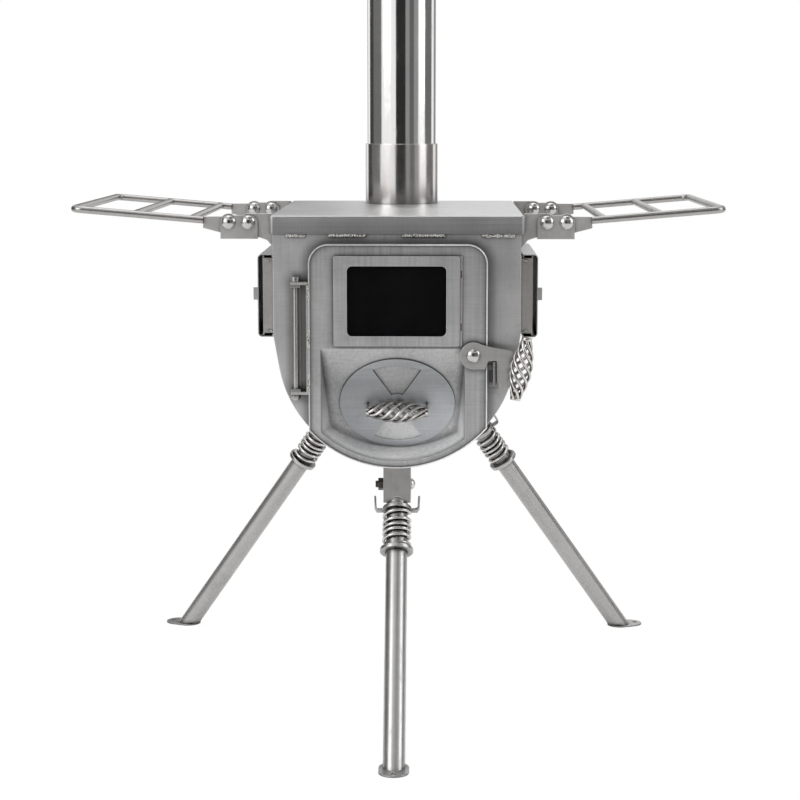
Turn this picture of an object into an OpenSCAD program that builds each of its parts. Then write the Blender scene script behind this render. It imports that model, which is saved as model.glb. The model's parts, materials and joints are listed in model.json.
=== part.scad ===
// Folding tent wood stove: a round-bellied sheet-steel firebox with a flat
// lid, a glazed door with an air damper, two folding side racks, two side
// windows with sliding shutters, a flue and three folding legs.
// The front plate's face is drawn at y = 0 and the floor is z = 0; in_frame()
// then moves everything so that the origin is under the middle of the box.

/* [Firebox] */
// Width over the upright side walls
body_w = 286; // [240:1:345]
// Depth from the front plate's face to the rear plate's face
body_d = 398; // [330:1:480]
// How far the belly circle lies inside the upright walls
belly_inset = 4.5; // [3:0.5:8]
// Height of the belly's centre line above the floor
belly_z = 449.5; // [375:0.5:540]
// Height of the upright walls above the belly's centre line
wall_rise = 150.5; // [125:0.5:180]
// Thickness of the firebox sheet
sheet = 1.5; // [1:0.1:2]
// Thickness of the front and rear plates
plate_t = 2; // [1.5:0.1:3]
// Depth of the lid's folded lip
lip_h = 21; // [12:0.5:30]
// Overhang of the lid past each side wall, lip included
lid_overhang = 4; // [2:0.5:8]
// Corner radius of the lid seen from above
lid_corner_r = 5; // [3:0.5:8]
// Height of the fire grate above the belly's lowest line
grate_rise = 46; // [30:1:70]
// Width of each slot in the fire grate
grate_slot_w = 8; // [5:0.5:12]
// Drop of the baffle plate below the lid
baffle_drop = 42; // [30:1:60]
// Length of the baffle plate from the rear plate forward
baffle_len = 150; // [110:1:190]

/* [Flue] */
// Radius of the flue pipe
flue_r = 44.5; // [35:0.5:55]
// Wall thickness of the flue pipe
flue_wall = 1; // [0.6:0.1:2]
// Length of the flue pipe section
flue_len = 398; // [250:1:600]
// Height of the collar on the lid
collar_h = 77; // [40:1:100]
// Wall thickness of the collar
collar_wall = 2.2; // [1.2:0.1:4]
// Height of the ledge that the pipe stands on
collar_ledge = 4.5; // [2:0.5:8]
// Running gap between pipe and collar
flue_gap = 0.3; // [0.2:0.05:1]
// Distance from the rear plate's face to the flue's axis
flue_back = 64; // [60:1:100]

/* [Door] */
// Distance from the left wall to the door's left edge
door_left_margin = 41.5; // [36:0.5:50]
// Distance from the right wall to the door's right edge
door_right_margin = 38.5; // [36:0.5:50]
// Height of the door's top edge above the belly's centre line
door_rise = 120.2; // [112:0.1:124]
// How far the door's face stands before the front plate
door_face = 12; // [10:0.5:16]
// How far the rolled rim stands before the door's face
rim_proud = 2.5; // [1:0.5:4]
// Corner radius of the door's top
door_corner_r = 23; // [10:1:30]
// Overlap of the door's round bottom past the belly circle
door_overlap = 1; // [0:0.5:3]
// Gap between the door's rim and the front plate
door_gap = 1; // [0.5:0.1:2]
// Thickness of the door sheet
door_sheet = 1.5; // [1:0.1:2]
// Width of the front plate's rim inside the belly circle
mouth_rim = 2; // [1.5:0.5:5]
// Distance of the mouth's right edge from the belly's centre line
mouth_right = 95; // [90:0.5:97]
// Distance of the mouth's left edge from the belly's centre line
mouth_left = 92; // [88:0.5:94]
// Distance of the mouth's top edge below the door's top
mouth_top_margin = 9; // [6:0.5:12]

/* [Window] */
// Outer width of the window frame
window_w = 145; // [120:1:150]
// Outer height of the window frame
window_h = 103.7; // [85:0.1:104]
// Width of the glass opening
glass_open_w = 114; // [90:1:120]
// Height of the glass opening
glass_open_h = 80.5; // [60:0.5:86]
// Corner radius of the glass opening
glass_open_r = 6; // [3:0.5:12]
// How far the frame stands before the door's face
window_proud = 4; // [2:0.5:6]
// Thickness of the frame sheet
window_sheet = 1.2; // [0.8:0.1:2]
// Height of the window's middle above the belly's centre line
window_rise = 54.9; // [52:0.1:56]
// Thickness of the door glass
glass_t = 4; // [3:0.5:5]
// Overlap of the glass past the hole in the door
glass_lap = 6; // [4:0.5:7]
// Thickness of the sheet that holds the glass
retainer_t = 1.2; // [0.8:0.1:2]

/* [Damper] */
// Tilt of the damper panel from the vertical
panel_tilt = 33; // [25:1:36]
// Radius of the damper disc
disc_r = 67.5; // [50:0.5:68]
// Distance from the crease down the panel to the disc's top edge
disc_drop = 14; // [10:0.5:18]
// Thickness of the damper disc
disc_t = 1.5; // [1:0.1:3]
// Gap between disc and panel
disc_gap = 0.3; // [0.2:0.05:0.6]
// Width of the disc's rim outside its air sectors
disc_rim = 9; // [6:0.5:14]
// Radius of the disc's hub inside its air sectors
disc_hub_r = 14; // [10:0.5:20]
// Angle of each air sector
sector_angle = 58; // [40:1:70]
// Distance from the centre line to the pocket's left side at the door's face
pocket_left = 88; // [82:0.5:89]
// Distance from the centre line to the pocket's right side at the door's face
pocket_right = 79.5; // [76:0.5:81]
// How much each side of the pocket draws in towards the back
pocket_side_draw = 13.5; // [8:0.5:14]
// Width of the door's lower lip below the pocket
pocket_lip = 8; // [6:0.5:12]
// How much the pocket's round floor draws in towards the back
pocket_draw = 5; // [4:0.5:8]
// Thickness of the pocket's sheet
pocket_sheet = 1.2; // [0.8:0.1:1.5]
// Radius of the damper's pivot bolt
damper_bolt_r = 2.5; // [2:0.25:4]

/* [Cage handles] */
// Length of the twisted wires
cage_len = 66; // [50:1:80]
// Outer radius of the cage at its middle
cage_r = 12.8; // [10:0.1:16]
// Diameter of each wire
cage_wire_d = 3; // [2:0.1:3.2]
// Radius of the wires' centre lines at the ends
cage_end_r = 4.4; // [4:0.1:6]
// Number of wires in each cage
cage_wires = 6; // [4:1:6]
// Twist of the wires from end to end
cage_twist = -330; // [-390:5:-240]
// Radius of the end ferrules
ferrule_r = 6.2; // [5.8:0.1:8]
// Length of each end ferrule
ferrule_len = 3.5; // [2:0.5:6]

/* [Hinge and latch] */
// Radius of the hinge bolt
hinge_r = 3; // [2.5:0.25:4]
// Distance from the door's left edge to the hinge axis
hinge_out = 15; // [12:0.5:18]
// Depth of the hinge axis before the front plate
hinge_y = 8.5; // [7:0.5:10]
// Height of the hinge strap's upper end above the belly's centre line
hinge_rise = 76.5; // [60:0.5:90]
// Length of the hinge strap
hinge_len = 130; // [100:1:140]
// Thickness of the hinge straps
strap_t = 3; // [2:0.5:4]
// Distance from the door's right edge to the latch pivot
latch_in = 15.9; // [14:0.1:20]
// Distance of the latch pivot below the belly's centre line
latch_drop = 7.6; // [4:0.1:14]
// Thickness of the latch lever
lever_t = 2.5; // [2:0.5:4]
// Radius of the lever's round head
lever_head_r = 15.7; // [13:0.1:18]
// Radius of the latch pivot's shank
latch_pin_r = 4; // [3:0.25:5]

/* [Side windows] */
// Length of each side window's shutter
shutter_len = 200; // [150:1:240]
// Height of each shutter
shutter_h = 98; // [80:1:110]
// Reach of each shutter from the side wall
shutter_reach = 22; // [18:0.5:26]
// Distance from the front plate's face to the shutter
shutter_front = 50; // [40:1:70]
// Thickness of the shutter sheet
shutter_t = 1.2; // [0.8:0.1:2]
// Bend radius of the shutter's corners
shutter_bend = 5; // [3:0.5:8]
// Height of the shutter's middle above the belly's centre line
shutter_rise = 55.5; // [45:0.5:60]
// Sheet of the window box
box_t = 1.5; // [1:0.1:2]
// Gap between the shutter and the window box
box_gap = 3.3; // [2.5:0.1:5]
// Thickness of the side glass
side_glass_t = 4; // [3:0.5:5]

/* [Racks] */
// Distance from the front plate's face to the near rack bracket
rack_near = 33; // [20:1:45]
// Distance from the rear plate's face to the far rack bracket
rack_far = 31; // [20:1:45]
// Distance from the side wall to the inner rack pivot
rack_pivot_in = 30.8; // [28:0.1:36]
// Distance between the two rack pivots
link_pitch = 22.6; // [22:0.1:30]
// Height of the rack pivots below the lid's top
rack_pivot_drop = 9.5; // [8:0.5:14]
// Radius of the rack rivets
rack_rivet_r = 3; // [2:0.25:4]
// Radius of the rivets' round heads
rack_head_r = 8.3; // [5:0.1:9]
// Thickness of the arms and gussets
rack_plate = 3; // [2:0.5:4]
// Sheet of the rack links
link_sheet = 1.5; // [1:0.1:2]
// Side clearance of the plates in the links
link_gap = 0.4; // [0.3:0.05:0.8]
// Distance from the pivots down to the links' floor
link_depth = 17.5; // [16:0.5:22]
// Length of each arm from its pivot to the rail
arm_len = 29.7; // [26:0.1:36]
// Distance from the outer pivot to the rack's outer bar
rack_reach = 182; // [140:1:230]
// Diameter of the rack's rods
rack_rod_d = 8.5; // [5:0.5:10]
// Corner radius of the rack
rack_corner_r = 10; // [7:0.5:20]
// Upward slope of the rack
rack_slope = 4.83; // [0:0.01:8]
// Distances of the crossbars from the outer pivot, in shares of the reach
rack_bar_shares = [0.246, 0.61];

/* [Legs] */
// Diameter of the leg tubes
leg_d = 25; // [20:0.5:30]
// Wall thickness of the leg tubes
leg_wall = 1.5; // [1:0.1:2.5]
// Splay of the front leg from the vertical
front_splay = 35.4; // [28:0.1:40]
// Rearward lean of the rear legs in their sockets
rear_lean = 13.6; // [8:0.1:18]
// Angle round the belly of the rear sockets
rear_round = 34.2; // [28:0.1:40]
// Distance from the front plate's face to the front leg's pivot
front_pivot_y = 33; // [28:1:50]
// Distance from the front plate's face to the rear legs' pivots
rear_pivot_y = 385; // [340:1:430]
// Distance from the belly to the front leg's pivot
front_pivot_gap = 28; // [26:0.5:34]
// Distance from the belly to the rear legs' pivots
rear_pivot_gap = 21.7; // [21:0.1:30]
// Gap between the tube and each cheek of its socket
socket_gap = 1; // [0.5:0.5:3]
// Wall thickness of the sockets
socket_t = 2.5; // [2:0.1:4]
// Depth of the sockets below the pivot
socket_drop = 18; // [14:0.5:20]
// Reach of the socket cheeks past the pivot on the folding side
socket_reach = 16; // [12:0.5:18]
// Distance from the front pivot to its socket's closed face
front_web = 24; // [22:0.5:26]
// Distance from the rear pivots to their sockets' closed faces
rear_web = 20.1; // [19:0.1:24]
// Length of tube above the pivot
leg_top = 10; // [6:0.5:12]
// Radius of the pivot bolts
bolt_r = 4; // [3:0.25:5]
// Radius clearance of every hinge pin
pin_gap = 0.05; // [0.02:0.01:0.1]
// Distance from the pivot to the lock ring
ring_start = 30.6; // [30:0.1:34]
// Height of the lock ring
ring_h = 5; // [3:0.5:8]
// Width of the lock ring past the tube
ring_w = 4.5; // [3:0.5:7]
// Distance from the pivot to the weld-on leg collar
collar_start = 83; // [70:0.5:100]
// Height of the weld-on leg collar
leg_collar_h = 5; // [3:0.5:8]
// Width of the weld-on leg collar past the tube
leg_collar_w = 7; // [4:0.5:9]
// Wire diameter of the leg springs
spring_wire_d = 3.4; // [2.5:0.1:4]
// Least gap between each leg tube and the chords of its spring
spring_gap = 0.2; // [0.1:0.05:1]
// Turns of each leg spring
spring_turns = 5; // [4:1:8]
// Thickness of the foot plates
foot_t = 2; // [1.5:0.1:3]
// Border of the foot plates past the tube's radius
foot_border = 4.5; // [3.5:0.5:9]
// Distance from the tube to the foot plates' peg hole
foot_reach = 16; // [12:0.5:26]
// Radius of the peg hole
peg_hole_r = 3; // [2:0.5:5]

/* [Hidden] */
$fn = 72;

big = 500;
cut = 1;

// Firebox section
half_w = body_w / 2;
belly_r = half_w - belly_inset;
wall_top = belly_z + wall_rise;
lid_z = wall_top + sheet;
lid_half = half_w + lid_overhang;
lip_z = lid_z - lip_h;
flue_y = body_d - flue_back;
flue_hole_r = flue_r - 2.5;
flue_seat_gap = 0.1;
baffle_t = 2;
grate_t = 2;
grate_front = 90;
grate_back_gap = 12;
grate_border = 15;
grate_web = 16;
grate_slots = 7;
grate_side_gap = 0.2;

// The wall leaves the belly circle on the tangent from the shoulder
shoulder_rise = 3 * belly_inset;
shoulder_dist = norm([half_w, shoulder_rise]);
tangent_angle = atan2(shoulder_rise, half_w) - acos(belly_r / shoulder_dist);
function tangent_point(inset) = (belly_r - inset) * [cos(tangent_angle), sin(tangent_angle)];
function shoulder_point(inset) = [
    half_w - inset,
    (belly_r - inset - (half_w - inset) * cos(tangent_angle)) / sin(tangent_angle)
];

// Door outline
door_left = -half_w + door_left_margin;
door_right = half_w - door_right_margin;
door_top = belly_z + door_rise;
door_r = belly_r + door_overlap;
rim_y = -door_face - rim_proud;
mouth_r = belly_r - mouth_rim;
mouth_top = door_top - mouth_top_margin;

// Window in the door
window_z = belly_z + window_rise;
frame_y = -door_face - window_proud;
hole_margin = 8;
hole_w = glass_open_w + hole_margin;
hole_h = glass_open_h + hole_margin;
frame_corner_r = 2;
glass_corner_r = 3;
stud_r = 1.4;

// Damper: the panel turns back from the crease
crease_drop = 0.5;
crease_z = belly_z - crease_drop;
disc_down = disc_drop + disc_r;
pocket_r = door_r - pocket_lip;
pocket_deep = belly_r * tan(panel_tilt);
sector_r = disc_r - disc_rim;
air_hole_inset = 2;
head_gap = 0.1;
damper_head_r = 5;
damper_nut_r = 4.6;
damper_nut_h = 4;

// Handles
cage_mid_r = cage_r - cage_wire_d / 2;
cage_rings = 18;
wire_sides = 6;
bolt_head_h = 1.2;
handle_gap = 0.5;
handle_stand = cage_r + bolt_head_h + handle_gap;
post_w = ferrule_len - 1;

// Hinge
hinge_x = door_left - hinge_out;
hinge_top = belly_z + hinge_rise;
hinge_bottom = hinge_top - hinge_len;
ear_gap = 0.3;
ear_half = 5.5;
strap_back = 2.5;
bracket_t = 2;
hinge_head_h = 5.5;
hinge_head_r = 5;
hinge_nut_r = 5.6;
hinge_head_gap = 0.2;
hinge_tail = 7;

// Latch
latch_x = door_right - latch_in;
latch_z = belly_z - latch_drop;
lever_gap = 0.6;
lever_back = lever_gap - rim_y;
rivet_base_r = 7;
rivet_head_r = 8;
rivet_head_h = 3.6;
rivet_head_gap = 0.2;
rivet_base_gap = 0.1;
rivet_back = 2;
latch_handle_tilt = 100.4;
latch_handle_at = [54.3, -25, -14];
catch_x = latch_x + 23.6;
catch_t = 2.5;
catch_reach = 20;
catch_top = -6.9;
catch_h = 27;

// Side windows
shutter_z = belly_z + shutter_rise;
shutter_in = shutter_h / 2 - shutter_t;
box_half = shutter_in - box_gap;
box_reach = shutter_reach - shutter_t - 4.8;
box_lip = 1.5;
box_flange = 7;
box_rim = box_t + box_flange;
box_glass_x = 6.5;
guide_gap = 0.6;
box_front = shutter_front + 2;
box_len = shutter_len - 4;
side_hole_margin = 8;
side_hole_len = box_len - 2 * side_hole_margin;
side_hole_h = 2 * (box_half - side_hole_margin);
side_glass_gap = 0.2;
shutter_lip_in = 4;
shutter_lip = 2.4;
shutter_tab = [5, shutter_t, 15];

// Racks
rack_z = lid_z - rack_pivot_drop;
inner_pivot = half_w + rack_pivot_in;
outer_pivot = inner_pivot + link_pitch;
link_half = rack_plate / 2 + link_gap + link_sheet;
rack_ys = [rack_near, body_d - rack_far];
knuckle_gap = 0.8;
knuckle_r = link_pitch / 2 - knuckle_gap;
heel_gap = 0.3;
heel_drop = link_depth - heel_gap;
heel_w = 9.1;
link_end = 10.4;
link_rise = 8.3;
link_corner_r = 9;
rail_rise = 0.2;
rack_head_h = 4;

// Legs: 0 is the front leg, -1 the left and 1 the right rear leg
leg_r = leg_d / 2;
socket_w = leg_d + 2 * (socket_gap + socket_t);
ring_r = leg_r + ring_w;
leg_collar_r = leg_r + leg_collar_w;
coil_sides = 8;
spring_mid_r = (leg_r + spring_gap + spring_wire_d / 2) / cos(180 / coil_sides);
spring_r = spring_mid_r + spring_wire_d / 2;
foot_r = leg_r + foot_border;
weld_gap = 0.05;
ring_gap = 0.3;
arch_gap = 0.6;
leg_nut_h = 6.6;
leg_nut_r = 7.5;
leg_bolt_tail = 9.8;
leg_head_r = 7;
leg_head_h = 5.4;
horn_x = ring_r + 7;
horn_w = 9;
front_pivot = [0, front_pivot_y, belly_z - belly_r - front_pivot_gap];
rear_arm = belly_r + rear_pivot_gap;
rear_pivot = [rear_arm * sin(rear_round), rear_pivot_y, belly_z - rear_arm * cos(rear_round)];
function splay(leg) = leg == 0 ? front_splay : rear_lean;
function web(leg) = leg == 0 ? front_web : rear_web;
function leg_len(leg) = leg == 0
    ? front_pivot[2] / cos(front_splay)
    : rear_pivot[2] / (cos(rear_lean) * cos(rear_round));
front_foot = [0, front_pivot_y - leg_len(0) * sin(front_splay)];
rear_foot = [
    rear_pivot[0] + leg_len(1) * cos(rear_lean) * sin(rear_round),
    rear_pivot_y + leg_len(1) * sin(rear_lean)
];
rear_out = rear_foot - [rear_pivot[0], rear_pivot_y];
rear_heading = atan2(rear_out[1], rear_out[0]);

// Middle of the whole stove from front to back
front_edge = front_foot[1] - foot_reach - foot_r;
rear_edge = rear_foot[1] + foot_reach * sin(rear_heading) + foot_r;
centre_y = (front_edge + rear_edge) / 2;

// ---- Places -------------------------------------------------------------

module in_frame() translate([0, -centre_y, 0]) children();

module on_side(side) {
    if (side < 0) mirror([1, 0, 0]) children();
    else children();
}

module socket_space(leg) {
    if (leg == 0) translate(front_pivot) children();
    else on_side(leg) translate(rear_pivot) rotate([0, -rear_round, 0]) rotate([0, 0, 180]) children();
}

module leg_space(leg) socket_space(leg) rotate([-splay(leg), 0, 0]) children();

module foot_space(leg) {
    if (leg == 0) translate([front_foot[0], front_foot[1], 0]) rotate([0, 0, -90]) children();
    else on_side(leg) translate([rear_foot[0], rear_foot[1], 0]) rotate([0, 0, rear_heading]) children();
}

// Local x runs right, y runs into the panel and z runs up the panel
module panel_space() translate([0, -door_face, crease_z]) rotate([panel_tilt, 0, 0]) children();

module latch_handle_space() {
    translate([latch_x, 0, latch_z] + latch_handle_at) rotate([0, latch_handle_tilt, 0]) children();
}

// ---- Shapes that repeat -------------------------------------------------

// Draws a front view (x, z) as a plate from y0 to y1
module front_plate_shape(y0, y1) translate([0, y1, 0])
    rotate([90, 0, 0]) linear_extrude(y1 - y0) children();

module along_x() rotate([0, 90, 0]) children();

module along_y() rotate([-90, 0, 0]) children();

// The belly circle below the walls' tangent points
module belly_outline(inset) translate([0, belly_z]) intersection() {
    circle(belly_r - inset, $fn = 144);
    translate([-big, tangent_point(inset)[1] - 2 * big]) square([2 * big, 2 * big]);
}

// The walls and shoulders; their lower part overlaps the belly
module wall_outline(inset) {
    tangent = tangent_point(inset);
    side = [
        [half_w - inset, wall_rise],
        shoulder_point(inset),
        tangent,
        [0.6 * tangent[0], tangent[1] - 30]
    ];
    translate([0, belly_z]) polygon(concat(side, [for (i = [3 : -1 : 0]) [-side[i][0], side[i][1]]]));
}

module body_solid(y0, y1, inset) {
    front_plate_shape(y0, y1) belly_outline(inset);
    front_plate_shape(y0, y1) wall_outline(inset);
}

// A round-cornered rectangle about its own middle
module round_rect(w, h, r) {
    square([w - 2 * r, h], center = true);
    square([w, h - 2 * r], center = true);
    for (x = [-1, 1], y = [-1, 1]) translate([x * (w / 2 - r), y * (h / 2 - r)]) circle(r);
}

module door_outline(inset) {
    left = door_left + inset;
    right = door_right - inset;
    top = door_top - inset;
    r = door_corner_r - inset;
    intersection() {
        translate([0, belly_z]) circle(door_r - inset, $fn = 144);
        translate([left, belly_z - big]) square([right - left, big]);
    }
    translate([left, belly_z]) square([right - left, top - r - belly_z]);
    translate([left + r, belly_z]) square([right - left - 2 * r, top - belly_z]);
    for (x = [left + r, right - r]) translate([x, top - r]) circle(r);
}

module sector(r, hub, turn) difference() {
    intersection() {
        circle(r);
        rotate(turn) polygon([
            [0, 0],
            big * [cos(sector_angle / 2), -sin(sector_angle / 2)],
            big * [cos(sector_angle / 2), sin(sector_angle / 2)]
        ]);
    }
    circle(hub);
}

// A low round head that stands on z = 0
module dome(r, h) {
    ball = (r * r + h * h) / (2 * h);
    intersection() {
        translate([0, 0, h - ball]) sphere(ball);
        cylinder(r = r + cut, h = h + cut);
    }
}

// One unbroken wire: rings square to the path, each turned to face the axis x
function path_tangent(path, i) = let(
    a = path[max(i - 1, 0)],
    b = path[min(i + 1, len(path) - 1)]
) (b - a) / norm(b - a);
function ring_points(path, i, r) = let(
    t = path_tangent(path, i),
    out = [0, path[i][1], path[i][2]],
    flat = out - (out * t) * t,
    n = flat / norm(flat),
    b = cross(t, n),
    step = 360 / wire_sides
) [for (k = [0 : wire_sides - 1]) path[i] + r * (cos(step * k) * n + sin(step * k) * b)];
module wire(path, d) {
    count = len(path);
    points = [for (i = [0 : count - 1]) each ring_points(path, i, d / 2)];
    skin = [for (i = [0 : count - 2], k = [0 : wire_sides - 1])
        let(
            a = i * wire_sides + k,
            b = i * wire_sides + (k + 1) % wire_sides
        )
        each [[a, a + wire_sides, b], [b, a + wire_sides, b + wire_sides]]];
    last = (count - 1) * wire_sides;
    caps = [for (k = [1 : wire_sides - 2]) each [[0, k, k + 1], [last, last + k + 1, last + k]]];
    polyhedron(points = points, faces = concat(skin, caps));
}

// Least gap of a wire to its own later turns
function self_gap(path, d, apart) = min([for (i = [0 : len(path) - 1], j = [0 : len(path) - 1])
    if (j - i >= apart) norm(path[i] - path[j]) - d]);

// One cage wire, with a straight run of one wire diameter at each end
function cage_path(index) = let(
    run = cage_wire_d,
    twisted = cage_len - 2 * run,
    start = 360 * index / cage_wires
) concat(
    [[-cage_len / 2, cage_end_r * cos(start), cage_end_r * sin(start)]],
    [for (i = [0 : cage_rings]) let(
        u = i / cage_rings,
        a = start + cage_twist * u,
        r = cage_end_r + (cage_mid_r - cage_end_r) * sin(180 * u)
    ) [twisted * (u - 0.5), r * cos(a), r * sin(a)]],
    [[cage_len / 2, cage_end_r * cos(start + cage_twist), cage_end_r * sin(start + cage_twist)]]
);

module cage_wires_shape() for (k = [0 : cage_wires - 1]) wire(cage_path(k), cage_wire_d);

module cage_ferrules() {
    for (end = [-1, 1]) translate([end * (cage_len + ferrule_len) / 2, 0, 0])
        along_x() cylinder(r = ferrule_r, h = ferrule_len, center = true);
}

// ---- Firebox ------------------------------------------------------------

module firebox_shell() color("silver") in_frame() difference() {
    body_solid(plate_t, body_d - plate_t, 0);
    body_solid(0, body_d, sheet);
    for (side = [-1, 1]) on_side(side)
        translate([half_w, box_front + box_len / 2, shutter_z])
            cube([6 * sheet, side_hole_len, side_hole_h], center = true);
}

module front_plate() color("gainsboro") in_frame() {
    mouth_w = mouth_left + mouth_right;
    side_overlap = 20;
    difference() {
        body_solid(0, plate_t, 0);
        front_plate_shape(-cut, plate_t + cut) intersection() {
            translate([0, belly_z]) circle(mouth_r, $fn = 144);
            translate([-mouth_left, belly_z - big]) square([mouth_w, big]);
        }
        front_plate_shape(-cut, plate_t + cut) translate([-mouth_left, belly_z - side_overlap])
            square([mouth_w, mouth_top - belly_z + side_overlap]);
    }
}

module rear_plate() color("silver") in_frame() body_solid(body_d - plate_t, body_d, 0);

module lid_plate() color("lightgray") in_frame() {
    lid_len = body_d + 2 * sheet;
    mid = [0, body_d / 2];
    difference() {
        translate([mid[0], mid[1], lip_z]) linear_extrude(lip_h)
            round_rect(2 * lid_half, lid_len, lid_corner_r);
        translate([mid[0], mid[1], lip_z - cut]) linear_extrude(lip_h + cut - sheet)
            round_rect(2 * (lid_half - sheet), lid_len - 2 * sheet, lid_overhang - sheet);
        translate([0, flue_y, lip_z]) cylinder(r = flue_hole_r, h = 2 * lip_h);
    }
}

module flue_collar() color("gainsboro") in_frame() translate([0, flue_y, lid_z]) difference() {
    cylinder(r = flue_r + flue_gap + collar_wall, h = collar_h);
    translate([0, 0, collar_ledge]) cylinder(r = flue_r + flue_gap, h = collar_h);
    translate([0, 0, -cut]) cylinder(r = flue_hole_r, h = collar_h);
}

module flue_baffle() color("gray") in_frame()
    translate([-half_w + sheet, body_d - plate_t - baffle_len, lid_z - baffle_drop])
        cube([body_w - 2 * sheet, baffle_len, baffle_t]);

module fire_grate() color("dimgray") in_frame() {
    grate_half = sqrt(pow(belly_r - sheet, 2) - pow(belly_r - grate_rise, 2)) - grate_side_gap;
    grate_len = body_d - plate_t - grate_front - grate_back_gap;
    pitch = (grate_len - 2 * grate_border) / grate_slots;
    slots_front = grate_front + grate_border;
    difference() {
        translate([-grate_half, grate_front, belly_z - belly_r + grate_rise])
            cube([2 * grate_half, grate_len, grate_t]);
        for (i = [0 : grate_slots - 1], side = [-1, 1])
            translate([side * grate_half / 2, slots_front + pitch * (i + 0.5), belly_z - belly_r])
                linear_extrude(2 * grate_rise)
                    round_rect(grate_half - grate_web, grate_slot_w, grate_slot_w / 2 - 0.1);
    }
}

// ---- Door hinge ---------------------------------------------------------

module hinge_bracket() color("silver") in_frame() difference() {
    union() {
        for (z = [hinge_top - 2 * strap_t - ear_gap, hinge_bottom + strap_t + ear_gap])
            translate([hinge_x - ear_half, -hinge_y - ear_half, z])
                cube([2 * ear_half, hinge_y + ear_half, strap_t]);
        translate([hinge_x - ear_half, -bracket_t, hinge_bottom + strap_t + ear_gap])
            cube([2 * ear_half, bracket_t, hinge_len - 2 * strap_t - 2 * ear_gap]);
    }
    translate([hinge_x, -hinge_y, hinge_bottom]) cylinder(r = hinge_r + pin_gap, h = hinge_len);
}

module hinge_bolt() color("lightgray") in_frame() translate([hinge_x, -hinge_y, 0]) {
    translate([0, 0, hinge_bottom - hinge_tail])
        cylinder(r = hinge_r, h = hinge_tail + hinge_len + hinge_head_h / 2);
    translate([0, 0, hinge_top + hinge_head_gap]) cylinder(r = hinge_head_r, h = hinge_head_h);
    translate([0, 0, hinge_bottom - hinge_head_gap - hinge_head_h])
        cylinder(r = hinge_nut_r, h = hinge_head_h, $fn = 6);
}

module door_hinge_strap() color("silver") in_frame() difference() {
    union() {
        translate([door_left - strap_back, -hinge_y - ear_half, hinge_bottom])
            cube([strap_back, 2 * ear_half - 1, hinge_len]);
        for (z = [hinge_top - strap_t, hinge_bottom])
            translate([hinge_x - ear_half, -hinge_y - ear_half, z])
                cube([hinge_out + ear_half - 1, 2 * ear_half - 1, strap_t]);
    }
    translate([hinge_x, -hinge_y, hinge_bottom - cut])
        cylinder(r = hinge_r + pin_gap, h = hinge_len + 2 * cut);
}

// ---- Door ---------------------------------------------------------------

// The space in front of the damper panel; grow adds the pocket's sheet
module pocket_space(grow) intersection() {
    translate([0, -door_face - cut, belly_z]) along_y()
        cylinder(r1 = pocket_r + grow, r2 = pocket_r - pocket_draw + grow, h = pocket_deep, $fn = 144);
    translate([0, 0, belly_z - big / 2]) linear_extrude(big) polygon([
        [-pocket_left - grow, -door_face - cut],
        [pocket_right + grow, -door_face - cut],
        [pocket_right - pocket_side_draw + grow, pocket_deep],
        [pocket_side_draw - pocket_left - grow, pocket_deep]
    ]);
    panel_space() translate([-big / 2, -big, -big]) cube([big, big + grow, big]);
}

module door_panel() color("lightsteelblue") in_frame() difference() {
    union() {
        front_plate_shape(-door_face, -door_face + door_sheet) door_outline(0);
        front_plate_shape(rim_y, -door_gap) difference() {
            door_outline(0);
            door_outline(door_sheet);
        }
        intersection() {
            pocket_space(pocket_sheet);
            translate([-big / 2, -door_face, 0]) cube([big, big, 2 * big]);
        }
    }
    pocket_space(0);
    translate([0, 0, window_z]) front_plate_shape(-door_face - cut, -door_face + 2 * door_sheet)
        round_rect(hole_w, hole_h, glass_open_r);
    panel_space() translate([0, 0, -disc_down]) {
        front_plate_shape(-cut, 2 * pocket_sheet + cut) for (turn = [0, 180])
            sector(sector_r - air_hole_inset, disc_hub_r + air_hole_inset, turn);
        translate([0, -cut, 0]) along_y() cylinder(r = damper_bolt_r + pin_gap, h = 4 * pocket_sheet + cut);
    }
    translate([latch_x, -door_face - cut, latch_z]) along_y()
        cylinder(r = latch_pin_r + pin_gap, h = 10);
}

module window_frame() color("gainsboro") in_frame() translate([0, 0, window_z]) difference() {
    front_plate_shape(frame_y, -door_face) round_rect(window_w, window_h, frame_corner_r);
    front_plate_shape(frame_y + window_sheet, -door_face + cut)
        round_rect(window_w - 2 * window_sheet, window_h - 2 * window_sheet, frame_corner_r - window_sheet);
    front_plate_shape(frame_y - cut, -door_face) round_rect(glass_open_w, glass_open_h, glass_open_r);
}

module door_glass() color("darkslategray", 0.6) in_frame() translate([0, 0, window_z])
    front_plate_shape(-door_face + door_sheet, -door_face + door_sheet + glass_t)
        round_rect(hole_w + 2 * glass_lap, hole_h + 2 * glass_lap, glass_corner_r);

module glass_retainer() color("silver") in_frame() translate([0, 0, window_z]) {
    back = -door_face + door_sheet + glass_t;
    outer_w = hole_w + 2 * (glass_lap + glass_corner_r);
    outer_h = hole_h + 2 * glass_lap + glass_corner_r;
    front_plate_shape(back, back + retainer_t) difference() {
        round_rect(outer_w, outer_h, glass_corner_r);
        round_rect(hole_w - hole_margin / 2, hole_h - hole_margin / 2, glass_open_r);
    }
    for (x = [-1, 1], z = [-1, 1])
        translate([x * (outer_w / 2 - glass_corner_r / 2), -door_face + door_sheet, z * (outer_h / 2 - 12)])
            along_y() cylinder(r = stud_r, h = glass_t);
}

module damper_disc() color("lightgray") in_frame() panel_space() translate([0, 0, -disc_down])
    front_plate_shape(-disc_gap - disc_t, -disc_gap) difference() {
        circle(disc_r, $fn = 144);
        for (turn = [90, 270]) sector(sector_r, disc_hub_r, turn);
        circle(damper_bolt_r + pin_gap);
    }

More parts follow.
